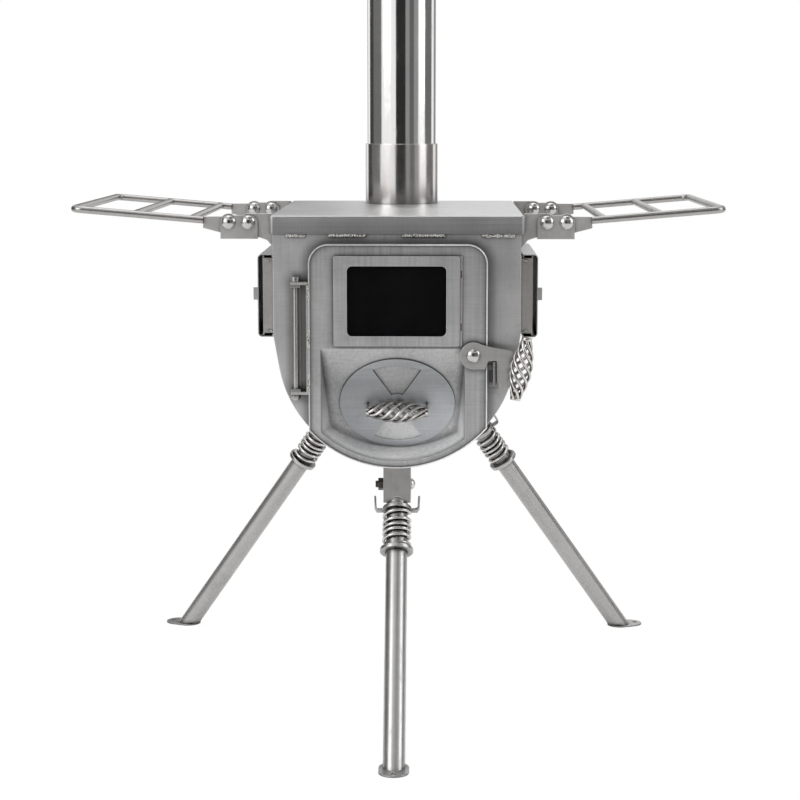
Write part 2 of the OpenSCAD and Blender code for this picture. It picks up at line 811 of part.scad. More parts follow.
module damper_bolt() color("silver") in_frame() panel_space() translate([0, 0, -disc_down]) along_y() {
    head = -disc_gap - disc_t - head_gap;
    translate([0, 0, head]) cylinder(r = damper_bolt_r, h = pocket_sheet + damper_nut_h + cut - head);
    translate([0, 0, head]) mirror([0, 0, 1]) cylinder(r = damper_head_r, h = bolt_head_h);
    translate([0, 0, pocket_sheet]) cylinder(r = damper_nut_r, h = damper_nut_h, $fn = 6);
}

module damper_handle_space() {
    panel_space() translate([0, -disc_gap - disc_t - handle_stand, -disc_down]) children();
}

module damper_handle_wires() color("whitesmoke") in_frame() damper_handle_space() cage_wires_shape();

module damper_handle_ends() color("silver") in_frame() damper_handle_space() {
    cage_ferrules();
    for (end = [-1, 1]) translate([end * (cage_len + ferrule_len) / 2 - post_w / 2, 0, -post_w])
        cube([post_w, handle_stand, 2 * post_w]);
}

// ---- Latch --------------------------------------------------------------

module latch_rivet() color("whitesmoke") in_frame() translate([latch_x, 0, latch_z]) {
    head_y = -lever_back - lever_t - rivet_head_gap;
    back_y = -door_face + door_sheet;
    translate([0, head_y, 0]) along_y() cylinder(r = latch_pin_r, h = back_y + rivet_back - head_y);
    translate([0, head_y, 0]) rotate([90, 0, 0]) dome(rivet_head_r, rivet_head_h);
    translate([0, -lever_back + rivet_base_gap, 0]) along_y()
        cylinder(r = rivet_base_r, h = lever_back - rivet_base_gap - door_face);
    translate([0, back_y, 0]) along_y() cylinder(r = rivet_base_r, h = rivet_back);
}

// Front view of the lever's arm about its pivot
module lever_arm_outline() polygon([
    [2, lever_head_r - 0.3], [17.2, 10.8], [43.4, 5.9], [48.5, 1], [45.3, -4.9],
    [42, -19], [38, -32], [34.1, -39.9], [30, -37.5], [27, -30],
    [26.4, -5.9], [16.9, -5.9], [13.3, -15.5], [2, 0.3 - lever_head_r]
]);

module latch_lever() color("silver") in_frame()
translate([latch_x, -lever_back - lever_t, latch_z]) difference() {
    union() {
        along_y() cylinder(r = lever_head_r, h = lever_t);
        front_plate_shape(0, lever_t) lever_arm_outline();
    }
    translate([0, -cut, 0]) along_y() cylinder(r = latch_pin_r + pin_gap, h = lever_t + 2 * cut);
}

module latch_handle_wires() color("whitesmoke") in_frame() latch_handle_space() cage_wires_shape();

module latch_handle_ends() color("silver") in_frame() latch_handle_space() cage_ferrules();

module latch_catch() color("silver") in_frame() {
    base_w = 14;
    base_t = 2;
    base_h = 26;
    slot_h = 14;
    base_z = latch_z + catch_top - catch_h - 4.1;
    translate([catch_x - 1.2, -catch_reach, latch_z + catch_top - catch_h])
        cube([catch_t, catch_reach, catch_h]);
    difference() {
        translate([catch_x - base_w / 2, -base_t, base_z]) cube([base_w, base_t, base_h]);
        for (x = [catch_x - 5.4, catch_x + 2.4])
            translate([x, -base_t - cut, base_z + (base_h - slot_h) / 2])
                cube([2.8, base_t + 2 * cut, slot_h]);
        translate([catch_x - 1.2, -base_t - cut, base_z + 4.1]) cube([catch_t, base_t + 2 * cut, catch_h]);
    }
}

// ---- Side windows -------------------------------------------------------

module window_box(side) on_side(side) {
    // walls of the box, an inner flange for the glass and an outer guide flange
    translate([half_w, box_front, shutter_z]) {
        difference() {
            translate([0, 0, -box_half]) cube([box_reach, box_len, 2 * box_half]);
            translate([-cut, box_t, -box_half + box_t])
                cube([box_reach + 2 * cut, box_len - 2 * box_t, 2 * (box_half - box_t)]);
        }
        difference() {
            translate([box_glass_x, box_t, -box_half + box_t])
                cube([box_t, box_len - 2 * box_t, 2 * (box_half - box_t)]);
            translate([box_glass_x - cut, box_rim, -box_half + box_rim])
                cube([box_t + 2 * cut, box_len - 2 * box_rim, 2 * (box_half - box_rim)]);
        }
        for (z = [box_half, -box_half - box_gap + guide_gap])
            translate([box_reach - box_lip, 0, z]) cube([box_lip, box_len, box_gap - guide_gap]);
    }
}

module left_window_box() color("gray") in_frame() window_box(-1);
module right_window_box() color("gray") in_frame() window_box(1);

module window_glass(side) on_side(side) {
    rim = box_t + side_glass_gap;
    translate([half_w + box_glass_x + box_t, box_front + rim, shutter_z - box_half + rim])
        cube([side_glass_t, box_len - 2 * rim, 2 * (box_half - rim)]);
}

module left_window_glass() color("darkslategray", 0.6) in_frame() window_glass(-1);
module right_window_glass() color("darkslategray", 0.6) in_frame() window_glass(1);

// Section of the shutter: x from the wall outwards, y up
module shutter_section(inset) {
    reach = shutter_reach - inset;
    half = shutter_h / 2 - inset;
    r = shutter_bend - inset;
    translate([0, -half]) square([reach - r, 2 * half]);
    translate([0, -half + r]) square([reach, 2 * half - 2 * r]);
    for (y = [-1, 1]) translate([reach - r, y * (half - r)]) circle(r);
}

module window_shutter(side) on_side(side) translate([half_w, shutter_front, shutter_z]) {
    translate([0, shutter_len, 0]) rotate([90, 0, 0]) linear_extrude(shutter_len) {
        difference() {
            intersection() {
                shutter_section(0);
                translate([shutter_lip_in, -big / 2]) square([big, big]);
            }
            shutter_section(shutter_t);
        }
        for (y = [shutter_in - shutter_lip, -shutter_in])
            translate([shutter_lip_in, y]) square([shutter_t, shutter_lip]);
    }
    translate([shutter_reach, 0, -5]) cube(shutter_tab);
}

module left_window_shutter() color("silver") in_frame() window_shutter(-1);
module right_window_shutter() color("silver") in_frame() window_shutter(1);

// ---- Folding racks ------------------------------------------------------

module rack_gussets(side) on_side(side) for (y = rack_ys)
    front_plate_shape(y - rack_plate / 2, y + rack_plate / 2) difference() {
        union() {
            translate([inner_pivot, rack_z]) circle(knuckle_r);
            polygon([
                [half_w, lip_z], [lid_half, lip_z], [lid_half, rack_z + knuckle_r],
                [inner_pivot, rack_z + knuckle_r], [inner_pivot, rack_z - heel_drop],
                [inner_pivot - 12, rack_z - heel_drop], [half_w + 9, lip_z - 9], [half_w, lip_z - 20]
            ]);
        }
        translate([inner_pivot, rack_z]) circle(rack_rivet_r + pin_gap);
    }

module left_rack_gussets() color("gray") in_frame() rack_gussets(-1);
module right_rack_gussets() color("gray") in_frame() rack_gussets(1);

module link_outline() {
    corner = link_corner_r;
    x0 = inner_pivot - link_end - knuckle_gap;
    x1 = outer_pivot + link_end - knuckle_gap;
    z0 = rack_z - link_depth - link_sheet;
    z1 = rack_z + link_rise;
    translate([x0, z0]) square([x1 - x0, z1 - z0 - corner]);
    translate([x0 + corner, z0]) square([x1 - x0 - 2 * corner, z1 - z0]);
    for (x = [x0 + corner, x1 - corner]) translate([x, z1 - corner]) circle(corner);
}

module rack_links(side) on_side(side) for (y = rack_ys) difference() {
    front_plate_shape(y - link_half, y + link_half) link_outline();
    front_plate_shape(y - link_half + link_sheet, y + link_half - link_sheet)
        translate([inner_pivot - big / 2, rack_z - link_depth]) square([big, big]);
    for (x = [inner_pivot, outer_pivot])
        translate([x, y - 2 * link_half, rack_z]) along_y()
            cylinder(r = rack_rivet_r + pin_gap, h = 4 * link_half);
}

module left_rack_links() color("lightgray") in_frame() rack_links(-1);
module right_rack_links() color("lightgray") in_frame() rack_links(1);

module rack_rivets(side) on_side(side)
for (y = rack_ys, x = [inner_pivot, outer_pivot]) translate([x, y, rack_z]) {
    translate([0, -link_half, 0]) along_y() cylinder(r = rack_rivet_r, h = 2 * link_half);
    translate([0, -link_half, 0]) rotate([90, 0, 0]) dome(rack_head_r, rack_head_h);
    translate([0, link_half, 0]) along_y() dome(rack_head_r, rack_head_h);
}

module left_rack_rivets() color("whitesmoke") in_frame() rack_rivets(-1);
module right_rack_rivets() color("whitesmoke") in_frame() rack_rivets(1);

module rack_arms(side) on_side(side) for (y = rack_ys)
    translate([outer_pivot, y, rack_z]) front_plate_shape(-rack_plate / 2, rack_plate / 2) difference() {
        union() {
            circle(knuckle_r);
            translate([0, -heel_drop]) square([heel_w, heel_drop]);
            rotate(rack_slope) polygon([
                [0, -knuckle_r], [9, -12.5], [arm_len, -9], [arm_len, rail_rise + rack_rod_d / 2],
                [9, 6.4], [0, knuckle_r - 1.5]
            ]);
        }
        circle(rack_rivet_r + pin_gap);
    }

module left_rack_arms() color("gray") in_frame() rack_arms(-1);
module right_rack_arms() color("gray") in_frame() rack_arms(1);

module rack_frame(side) on_side(side)
translate([outer_pivot, 0, rack_z]) rotate([0, -rack_slope, 0]) translate([0, 0, rail_rise]) {
    rod = rack_rod_d / 2;
    rail_end = rack_reach - rack_corner_r;
    for (y = rack_ys) translate([arm_len, y, 0]) along_x() cylinder(r = rod, h = rail_end - arm_len);
    translate([rail_end, rack_ys[0] + rack_corner_r, 0]) rotate([0, 0, -90])
        rotate_extrude(angle = 90) translate([rack_corner_r, 0]) circle(rod);
    translate([rail_end, rack_ys[1] - rack_corner_r, 0])
        rotate_extrude(angle = 90) translate([rack_corner_r, 0]) circle(rod);
    translate([rack_reach, rack_ys[0] + rack_corner_r, 0]) along_y()
        cylinder(r = rod, h = rack_ys[1] - rack_ys[0] - 2 * rack_corner_r);
    for (share = rack_bar_shares) translate([rack_reach * share, rack_ys[0], 0]) along_y()
        cylinder(r = rod, h = rack_ys[1] - rack_ys[0]);
}

module left_rack_frame() color("lightgray") in_frame() rack_frame(-1);
module right_rack_frame() color("lightgray") in_frame() rack_frame(1);

// ---- Legs ---------------------------------------------------------------

module leg_socket(leg) difference() {
    socket_space(leg) difference() {
        // a channel open towards the folding side
        translate([-socket_w / 2, -web(leg), -socket_drop])
            cube([socket_w, web(leg) + socket_reach, socket_drop + rear_pivot_gap + front_pivot_gap]);
        translate([-socket_w / 2 + socket_t, -web(leg) + socket_t, -big / 2])
            cube([socket_w - 2 * socket_t, big, big]);
        along_x() cylinder(r = bolt_r + pin_gap, h = 2 * socket_w, center = true);
        // the arch where the splayed tube comes out
        rotate([-splay(leg), 0, 0]) translate([0, 0, -big]) cylinder(r = leg_r + arch_gap, h = big);
    }
    // the belly
    translate([0, -big / 2, belly_z]) along_y() cylinder(r = belly_r + weld_gap, h = 2 * big, $fn = 144);
}

module front_leg_socket() color("silver") in_frame() leg_socket(0);
module left_leg_socket() color("silver") in_frame() leg_socket(-1);
module right_leg_socket() color("silver") in_frame() leg_socket(1);

module leg_pivot_bolts() color("dimgray") in_frame() for (leg = [-1, 0, 1]) socket_space(leg) along_x() {
    translate([0, 0, -socket_w / 2 - leg_bolt_tail]) cylinder(r = bolt_r, h = socket_w + leg_bolt_tail);
    translate([0, 0, -socket_w / 2 - leg_nut_h]) cylinder(r = leg_nut_r, h = leg_nut_h, $fn = 6);
    translate([0, 0, socket_w / 2]) dome(leg_head_r, leg_head_h);
}

module leg_tube(leg) difference() {
    leg_space(leg) difference() {
        translate([0, 0, -leg_len(leg) - leg_d]) cylinder(r = leg_r, h = leg_len(leg) + leg_d + leg_top);
        translate([0, 0, -leg_len(leg) - 2 * leg_d]) cylinder(r = leg_r - leg_wall, h = leg_len(leg) + big);
        along_x() cylinder(r = bolt_r + pin_gap, h = 2 * leg_d, center = true);
    }
    translate([-big, -big, foot_t - big]) cube([2 * big, 3 * big, big]);
}

module front_leg_tube() color("lightgray") in_frame() leg_tube(0);
module left_leg_tube() color("lightgray") in_frame() leg_tube(-1);
module right_leg_tube() color("lightgray") in_frame() leg_tube(1);

module foot_plate(leg) foot_space(leg) linear_extrude(foot_t) difference() {
    union() {
        circle(foot_r);
        translate([0, -foot_r]) square([foot_reach, 2 * foot_r]);
        translate([foot_reach, 0]) circle(foot_r);
    }
    translate([foot_reach + foot_r / 2, 0]) circle(peg_hole_r);
}

module front_foot_plate() color("gray") in_frame() foot_plate(0);
module left_foot_plate() color("gray") in_frame() foot_plate(-1);
module right_foot_plate() color("gray") in_frame() foot_plate(1);

module leg_collar(leg) leg_space(leg) translate([0, 0, -collar_start - leg_collar_h]) difference() {
    cylinder(r = leg_collar_r, h = leg_collar_h);
    translate([0, 0, -cut]) cylinder(r = leg_r + weld_gap, h = leg_collar_h + 2 * cut);
}

module front_leg_collar() color("silver") in_frame() leg_collar(0);
module left_leg_collar() color("silver") in_frame() leg_collar(-1);
module right_leg_collar() color("silver") in_frame() leg_collar(1);

// The spring's wire runs straight for one wire diameter at each end
spring_len = collar_start - ring_start - ring_h;
spring_rings = coil_sides * spring_turns;
spring_path = let(
    run = spring_wire_d,
    rise = spring_len - 2 * run
) concat(
    [[0, spring_mid_r, 0]],
    [for (i = [0 : spring_rings]) let(a = 360 * i / coil_sides) [
        run + rise * i / spring_rings,
        spring_mid_r * cos(a),
        spring_mid_r * sin(a)
    ]],
    [[spring_len, spring_mid_r, 0]]
);
echo("least gap of a leg spring to itself, mm", self_gap(spring_path, spring_wire_d, 7));
echo("least gap of a cage wire to itself, mm", self_gap(cage_path(0), cage_wire_d, 7));

module leg_spring(leg) leg_space(leg) translate([0, 0, -collar_start])
    rotate([0, -90, 0]) wire(spring_path, spring_wire_d);

module front_leg_spring() color("whitesmoke") in_frame() leg_spring(0);
module left_leg_spring() color("whitesmoke") in_frame() leg_spring(-1);
module right_leg_spring() color("whitesmoke") in_frame() leg_spring(1);

// The lock ring slides on the tube and has two upturned finger horns
module lock_ring(leg) leg_space(leg) translate([0, 0, -ring_start - ring_h]) {
    difference() {
        union() {
            cylinder(r = ring_r, h = ring_h);
            translate([-horn_x, -horn_w / 2, 0]) cube([2 * horn_x, horn_w, ring_h / 2]);
        }
        translate([0, 0, -cut]) cylinder(r = leg_r + ring_gap, h = ring_h + 2 * cut);
    }
    for (side = [-1, 1]) on_side(side)
        translate([horn_x, horn_w / 2, 0]) rotate([90, 0, 0]) linear_extrude(horn_w)
            polygon([[0, 0], [2.5, 4], [3.2, 18.5], [0.8, 18.5], [0, ring_h / 2]]);
}

module front_lock_ring() color("gainsboro") in_frame() lock_ring(0);
module left_lock_ring() color("gainsboro") in_frame() lock_ring(-1);
module right_lock_ring() color("gainsboro") in_frame() lock_ring(1);

// ---- Flue pipe ----------------------------------------------------------

module flue_pipe() color("gainsboro") in_frame()
translate([0, flue_y, lid_z + collar_ledge + flue_seat_gap]) difference() {
    cylinder(r = flue_r, h = flue_len);
    translate([0, 0, -cut]) cylinder(r = flue_r - flue_wall, h = flue_len + 2 * cut);
}

firebox_shell();
front_plate();
rear_plate();
lid_plate();
flue_collar();
flue_baffle();
fire_grate();
hinge_bracket();
hinge_bolt();
latch_catch();
left_window_box();
right_window_box();
left_window_glass();
right_window_glass();
left_rack_gussets();
right_rack_gussets();
front_leg_socket();
left_leg_socket();
right_leg_socket();
leg_pivot_bolts();
flue_pipe();
left_window_shutter();
right_window_shutter();
door_panel();
window_frame();
door_glass();
glass_retainer();
door_hinge_strap();
latch_rivet();
damper_bolt();
damper_disc();
damper_handle_wires();
damper_handle_ends();
latch_lever();
latch_handle_wires();
latch_handle_ends();
left_rack_links();
right_rack_links();
left_rack_rivets();
right_rack_rivets();
left_rack_arms();
right_rack_arms();
left_rack_frame();
right_rack_frame();
front_leg_tube();
left_leg_tube();
right_leg_tube();
front_foot_plate();
left_foot_plate();
right_foot_plate();
front_leg_collar();
left_leg_collar();
right_leg_collar();
front_leg_spring();
left_leg_spring();
right_leg_spring();
front_lock_ring();
left_lock_ring();
right_lock_ring();
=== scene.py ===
"""A folding tent wood stove: finishes, welds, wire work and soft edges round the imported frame."""

import json
import math

import bmesh
import bpy
from mathutils import Matrix, Vector


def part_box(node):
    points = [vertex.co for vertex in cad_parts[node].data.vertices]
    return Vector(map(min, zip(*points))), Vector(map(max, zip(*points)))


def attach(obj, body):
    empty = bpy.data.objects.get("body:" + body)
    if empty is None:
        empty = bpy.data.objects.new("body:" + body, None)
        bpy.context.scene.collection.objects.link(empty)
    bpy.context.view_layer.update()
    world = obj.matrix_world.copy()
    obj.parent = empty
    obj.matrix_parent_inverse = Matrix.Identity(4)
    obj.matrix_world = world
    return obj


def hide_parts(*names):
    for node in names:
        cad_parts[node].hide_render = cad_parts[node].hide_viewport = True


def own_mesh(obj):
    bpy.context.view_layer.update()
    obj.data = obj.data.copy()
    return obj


MM = 0.001
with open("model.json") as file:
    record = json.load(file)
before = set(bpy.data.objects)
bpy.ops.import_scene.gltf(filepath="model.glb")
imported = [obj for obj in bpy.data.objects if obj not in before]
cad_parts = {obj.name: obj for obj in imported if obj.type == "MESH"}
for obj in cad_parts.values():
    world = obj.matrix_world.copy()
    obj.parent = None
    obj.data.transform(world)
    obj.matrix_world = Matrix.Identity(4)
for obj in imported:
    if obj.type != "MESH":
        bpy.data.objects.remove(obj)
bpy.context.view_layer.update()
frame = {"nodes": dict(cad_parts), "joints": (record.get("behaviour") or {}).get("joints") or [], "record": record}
nodes = frame["nodes"]
joints = {joint["name"]: joint for joint in frame["joints"]}
bodies = frame["record"]["behaviour"]["bodies"]
body_of = {node: body for body, members in bodies.items() for node in members}


# ---- Small helpers --------------------------------------------------------


class Val:
    """A socket's value; arithmetic on it adds Math nodes to its tree."""

    def __init__(self, tree, socket, made=None):
        self.tree = tree
        self.socket = socket
        self.made = made

    def _math(self, operation, first, second=None):
        inputs = {0: first} if second is None else {0: first, 1: second}
        return self.tree.node("ShaderNodeMath", {"operation": operation}, inputs)

    def __add__(self, other):
        return self._math("ADD", self, other)

    def __radd__(self, other):
        return self._math("ADD", other, self)

    def __sub__(self, other):
        return self._math("SUBTRACT", self, other)

    def __rsub__(self, other):
        return self._math("SUBTRACT", other, self)

    def __mul__(self, other):
        return self._math("MULTIPLY", self, other)

    def __rmul__(self, other):
        return self._math("MULTIPLY", other, self)

    def __truediv__(self, other):
        return self._math("DIVIDE", self, other)

    def __pow__(self, other):
        return self._math("POWER", self, other)

    def do(self, operation, other=None):
        """Any other Math operation on the value."""
        return self._math(operation, self, other)

    def held(self, top=1.0):
        """The value, held between 0 and top."""
        return self.do("MAXIMUM", 0.0).do("MINIMUM", top)

    def out(self, name):
        """Another output of the value's node, by its place or name."""
        return Val(self.tree, self.made.outputs[name], self.made)


class Tree:
    """A node tree, with one short way to add a node to it."""

    def __init__(self, tree):
        self.tree = tree

    def node(self, kind, settings=None, inputs=None, out=0):
        """Adds a node: its settings first, then its sockets' values or links. Gives one of its outputs."""
        made = self.tree.nodes.new(kind)
        for key, value in (settings or {}).items():
            if key == "stops":
                ramp = made.color_ramp.elements
                while len(ramp) < len(value):
                    ramp.new(0.5)
                for element, (place, colour) in zip(ramp, value):
                    element.position = place
                    element.color = (*colour, 1)
            else:
                setattr(made, key, value)
        for key, value in (inputs or {}).items():
            if isinstance(value, Val):
                self.tree.links.new(value.socket, made.inputs[key])
            else:
                made.inputs[key].default_value = value
        return Val(self, made.outputs[out], made) if len(made.outputs) else None

    def mix(self, factor, first, second):
        """One colour into another."""
        return self.node("ShaderNodeMix", {"data_type": "RGBA"}, {0: factor, 6: first, 7: second}, 2)


def grey(level, warm=0.0):
    return (level * (1 + warm), level, level * (1 - warm), 1)


# How far the stove's middle lies behind the front plate's face, in metres
CENTRE_Y = -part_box("front_plate")[0].y


def stove(x, y, z):
    """Stove millimetres, with y from the front plate's face, as a point in the frame."""
    return Vector((x * MM, y * MM - CENTRE_Y, z * MM))


# ---- Materials ------------------------------------------------------------


# Noise cells per metre along x, y and z: brushed sheet has long cells along its grain
UPRIGHT = (1500, 1500, 22)
LEVEL = (22, 1500, 1500)
DEEP = (1500, 22, 1500)
EVEN = (420, 420, 420)
SOFT = (120, 120, 120)

# The damper's pocket in the door, its disc and air sectors, and the door's raised rim, in metres
POCKET_FRONT = -0.160
POCKET_TILT = math.radians(33)
LOW_HALF_Z = 0.405
DISC_Z = 0.38065
SECTOR_OUT = 0.0585
SECTOR_IN = 0.014
SECTOR_SLOPE = 0.554
RIM_BACK = -0.1634
RIM_FRONT = -0.1652

# How steeply the painted light there fades, per metre, and how much its painted shade darkens or its painted
# highlights brighten the steel
POCKET_FADE = 60
LOW_HALF_FADE = 16
SECTOR_FADE = 1500
RIM_FADE = 2500
TOP_HALF_SHADE = 0.14
SECTOR_HIGHLIGHT = 0.5
RIM_HIGHLIGHT = 0.3

# The lid's folded edge, in metres, how steeply its painted shade fades, and how much painted shade darkens its lip
BEND_Z = 0.6003
LIP_TOP_Z = 0.6
FOLD_FADE = 1000
LIP_SHADE = 0.26

# Bolt metal further left of the stove's middle than this is dark, in metres
DARK_BOLTS_FROM = 0.0155

# Heat colours beside a weld, and on the bead itself
STAIN_COLOURS = (
    (0.0, (0.10, 0.08, 0.07)),
    (0.40, (0.30, 0.25, 0.20)),
    (0.52, (0.44, 0.41, 0.38)),
    (0.70, (0.34, 0.33, 0.34)),
    (1.0, (0.52, 0.49, 0.44)),
)
BEAD_COLOURS = (
    (0.0, (0.05, 0.045, 0.04)),
    (0.38, (0.14, 0.12, 0.10)),
    (0.50, (0.62, 0.61, 0.58)),
    (0.62, (0.18, 0.18, 0.19)),
    (1.0, (0.60, 0.60, 0.58)),
)


def place_of(tree):
    return tree.node("ShaderNodeTexCoord", out="Object")


def noise(tree, place, stretch, detail=3.0, rough=0.55, lump=0.0):
    """Noise from 0 to 1, whose cells are 1/stretch metres wide along each axis."""
    stretched = tree.node("ShaderNodeVectorMath", {"operation": "MULTIPLY"}, {0: place, 1: stretch})
    return tree.node(
        "ShaderNodeTexNoise",
        {"noise_dimensions": "3D"},
        {"Vector": stretched, "Scale": 1.0, "Detail": detail, "Roughness": rough, "Distortion": lump},
    )


def openness(tree, reach, inside=False):
    """1 in the open, down to 0 in a corner reach mm deep; with inside, the same for outer edges."""
    settings = {"samples": 6, "inside": inside}
    return tree.node("ShaderNodeAmbientOcclusion", settings, {"Distance": reach * MM}, "AO")


def new_material(name):
    """An empty material and its tree."""
    material = bpy.data.materials.new(name)
    material.use_nodes = True
    material.node_tree.nodes.clear()
    return material, Tree(material.node_tree)


def close_material(tree, sockets):
    """Ends a material in a Principled shader with these sockets."""
    shader = tree.node("ShaderNodeBsdfPrincipled", None, sockets)
    tree.node("ShaderNodeOutputMaterial", None, {"Surface": shader})


def pocket_painted_light(tree, place, hollow):
    """Painted light on the door and its damper, on faces that look forward.

    Gives a mask of the pocket's low half, from 0 to 1; the pocket's painted light, its low half brighter, with a
    painted highlight in its low air sector and painted shade over its top half; and a painted highlight along the
    rim round the door, brighter on its right.
    """
    right = tree.node("ShaderNodeSeparateXYZ", None, {0: place}, "X")
    back = right.out("Y")
    height = right.out("Z")
    normal = tree.node("ShaderNodeTexCoord", out="Normal")
    turned = tree.node("ShaderNodeSeparateXYZ", None, {0: normal}, "Y")
    inside = ((back - POCKET_FRONT) * POCKET_FADE).held() * (1 - turned * 4).held()
    low = ((LOW_HALF_Z - height) * LOW_HALF_FADE).held()
    across = right.do("ABSOLUTE")
    down = (DISC_Z - height) / math.cos(POCKET_TILT)
    radius = (across * across + down * down) ** 0.5
    sector = ((down * SECTOR_SLOPE - across) * SECTOR_FADE).held()
    sector = sector * ((SECTOR_OUT - radius) * SECTOR_FADE).held()
    sector = sector * ((radius - SECTOR_IN) * SECTOR_FADE).held()
    low_pocket = inside * low
    pocket = low_pocket * hollow + (low - 1) * inside * TOP_HALF_SHADE + sector * inside * SECTOR_HIGHLIGHT + 1
    rim = ((RIM_BACK - back) * RIM_FADE).held() * ((back - RIM_FRONT) * RIM_FADE).held()
    rim_highlight = rim * ((right * 12).held(0.65) + RIM_HIGHLIGHT) + 1
    return low_pocket, pocket, rim_highlight


def lid_painted_shade(tree, place, fold):
    """Painted shade on the lid: a dark line along its bend, and darker down its lip."""
    height = tree.node("ShaderNodeSeparateXYZ", None, {0: place}, "Z")
    from_bend = ((height - BEND_Z) * FOLD_FADE).do("ABSOLUTE")
    bend = 1 - (1.2 - from_bend).held() * fold
    below = LIP_TOP_Z - height
    lip = 1 - (below * FOLD_FADE).held() * LIP_SHADE - (below * 12).held(0.25)
    return bend, lip


def steel(name, tone, rough, grain, streak=0.10, cloud=0.10, groove=0.04, warm=0.0, stain=0.0,
          metal=1.0, corner_shade=0.5, corner_shade_reach=6, worn=0.0, hollow=0.0, fold=0.0):
    """Bare stainless steel: brushed streaks along the grain, broad clouds and a few smudges.

    Painted shade darkens its corners, as deep as its reach in mm, and worn brightens its outer edges: edge wear
    with a painted highlight. Stain mixes in heat colours. Hollow paints highlights and shade into the damper's
    pocket and a highlight along the door's rim, and fold paints shade along the lid's folded edge.
    """
    material, tree = new_material(name)
    place = place_of(tree)
    fine = noise(tree, place, grain, 4.0, 0.65)
    broad = noise(tree, place, tuple(cells * 0.22 for cells in grain))
    hair = noise(tree, place, tuple(600 if cells < 100 else cells * 0.03 for cells in grain), rough=0.6)
    clouds = noise(tree, place, (14, 14, 14), 4.0)
    smudges = noise(tree, place, (46, 46, 38), 3.0, 0.6, 0.6)
    spots = ((smudges - 0.56) * 6).held()
    level = (fine - 0.5) * streak + (broad - 0.5) * (streak * 2.2) + (clouds - 0.5) * (cloud * 1.8) + 1
    level = level + (hair - 0.5) * (streak * 1.2) - spots * (cloud * 0.5)
    low_pocket = 0.0
    # Painted highlights and painted shade in the damper's pocket, and a painted highlight along the door's rim
    if hollow:
        low_pocket, pocket, rim_highlight = pocket_painted_light(tree, place, hollow)
        level = level * pocket * rim_highlight
    # Painted shade in corners and gaps, from ambient occlusion
    if corner_shade:
        depth = (1 - openness(tree, corner_shade_reach) ** 2.0) * corner_shade
        level = level * (1 - depth * (1 - low_pocket * 0.65))
    # Outer edges brighter: edge wear together with a painted highlight along them
    if worn:
        level = level + (1 - openness(tree, 0.9, inside=True)) * worn
    # Painted shade along the lid's bend and down its lip
    if fold:
        bend, lip = lid_painted_shade(tree, place, fold)
        level = level * bend * lip
    plain = grey(tone, warm)[:3]
    colour = tree.node("ShaderNodeVectorMath", {"operation": "SCALE"}, {0: plain, "Scale": level})
    if stain:
        heat = noise(tree, place, (70, 70, 70), 4.0, 0.6, 0.4)
        colour = tree.mix(stain, colour, tree.node("ShaderNodeValToRGB", {"stops": STAIN_COLOURS}, {0: heat}))
    roughness = (fine - 0.5) * 0.12 + (clouds - 0.5) * 0.14 + spots * 0.07 + rough
    grooves = {"Strength": groove, "Distance": 0.4 * MM, "Height": fine + broad * 0.6}
    close_material(tree, {
        "Base Color": colour,
        "Metallic": metal - low_pocket * 0.35,
        "Roughness": roughness + low_pocket * 0.22,
        "Normal": tree.node("ShaderNodeBump", None, grooves),
    })
    return material


def weld_metal():
    """Rippled weld beads: random bright and dark heat tints, with painted shade in the gaps between lumps."""
    material, tree = new_material("weld_bead")
    place = place_of(tree)
    heat = noise(tree, place, (260, 260, 260), 4.0, 0.6, 0.3)
    tints = tree.node("ShaderNodeValToRGB", {"stops": BEAD_COLOURS}, {0: heat})
    ripples = noise(tree, place, (900, 900, 900))
    # Painted shade in the gaps between lumps and along their foot, from ambient occlusion
    shaded = tree.node("ShaderNodeVectorMath", {"operation": "SCALE"}, {0: tints, "Scale": openness(tree, 3)})
    bump = tree.node("ShaderNodeBump", None, {"Strength": 0.35, "Distance": 0.6 * MM, "Height": ripples})
    close_material(tree, {
        "Base Color": shaded, "Metallic": 1.0, "Roughness": ripples * 0.3 + 0.18, "Normal": bump,
    })
    return material


def dark_glass():
    """Heat-proof window glass, dark, with a thin uneven film of soot."""
    material, tree = new_material("dark_glass")
    place = place_of(tree)
    film = noise(tree, place, (22, 22, 16), 4.0, 0.6, 0.5)
    soot = tree.mix(film, (0.0008, 0.0009, 0.0014, 1), (0.0050, 0.0048, 0.0052, 1))
    close_material(tree, {
        "Base Color": soot, "Metallic": 0.0, "Roughness": film * 0.10 + 0.03, "IOR": 1.46,
    })
    return material


def bolt_metal():
    """The legs' bolts: dark oxide towards the stove's left, bright towards its right."""
    material, tree = new_material("bolt_metal")
    place = place_of(tree)
    axes = tree.node("ShaderNodeSeparateXYZ", None, {0: place})
    worn = noise(tree, place, (300, 300, 300))
    dark_side = ((axes * -1 - DARK_BOLTS_FROM) * 900).held()
    dark = tree.mix((worn - 0.5) * 1.6 + 0.5, (0.030, 0.028, 0.026, 1), (0.10, 0.09, 0.08, 1))
    bright = tree.mix(worn, (0.50, 0.49, 0.47, 1), (0.70, 0.69, 0.67, 1))
    close_material(tree, {
        "Base Color": tree.mix(dark_side, bright, dark),
        "Metallic": 1.0,
        "Roughness": worn * 0.2 + 0.22,
    })
    return material


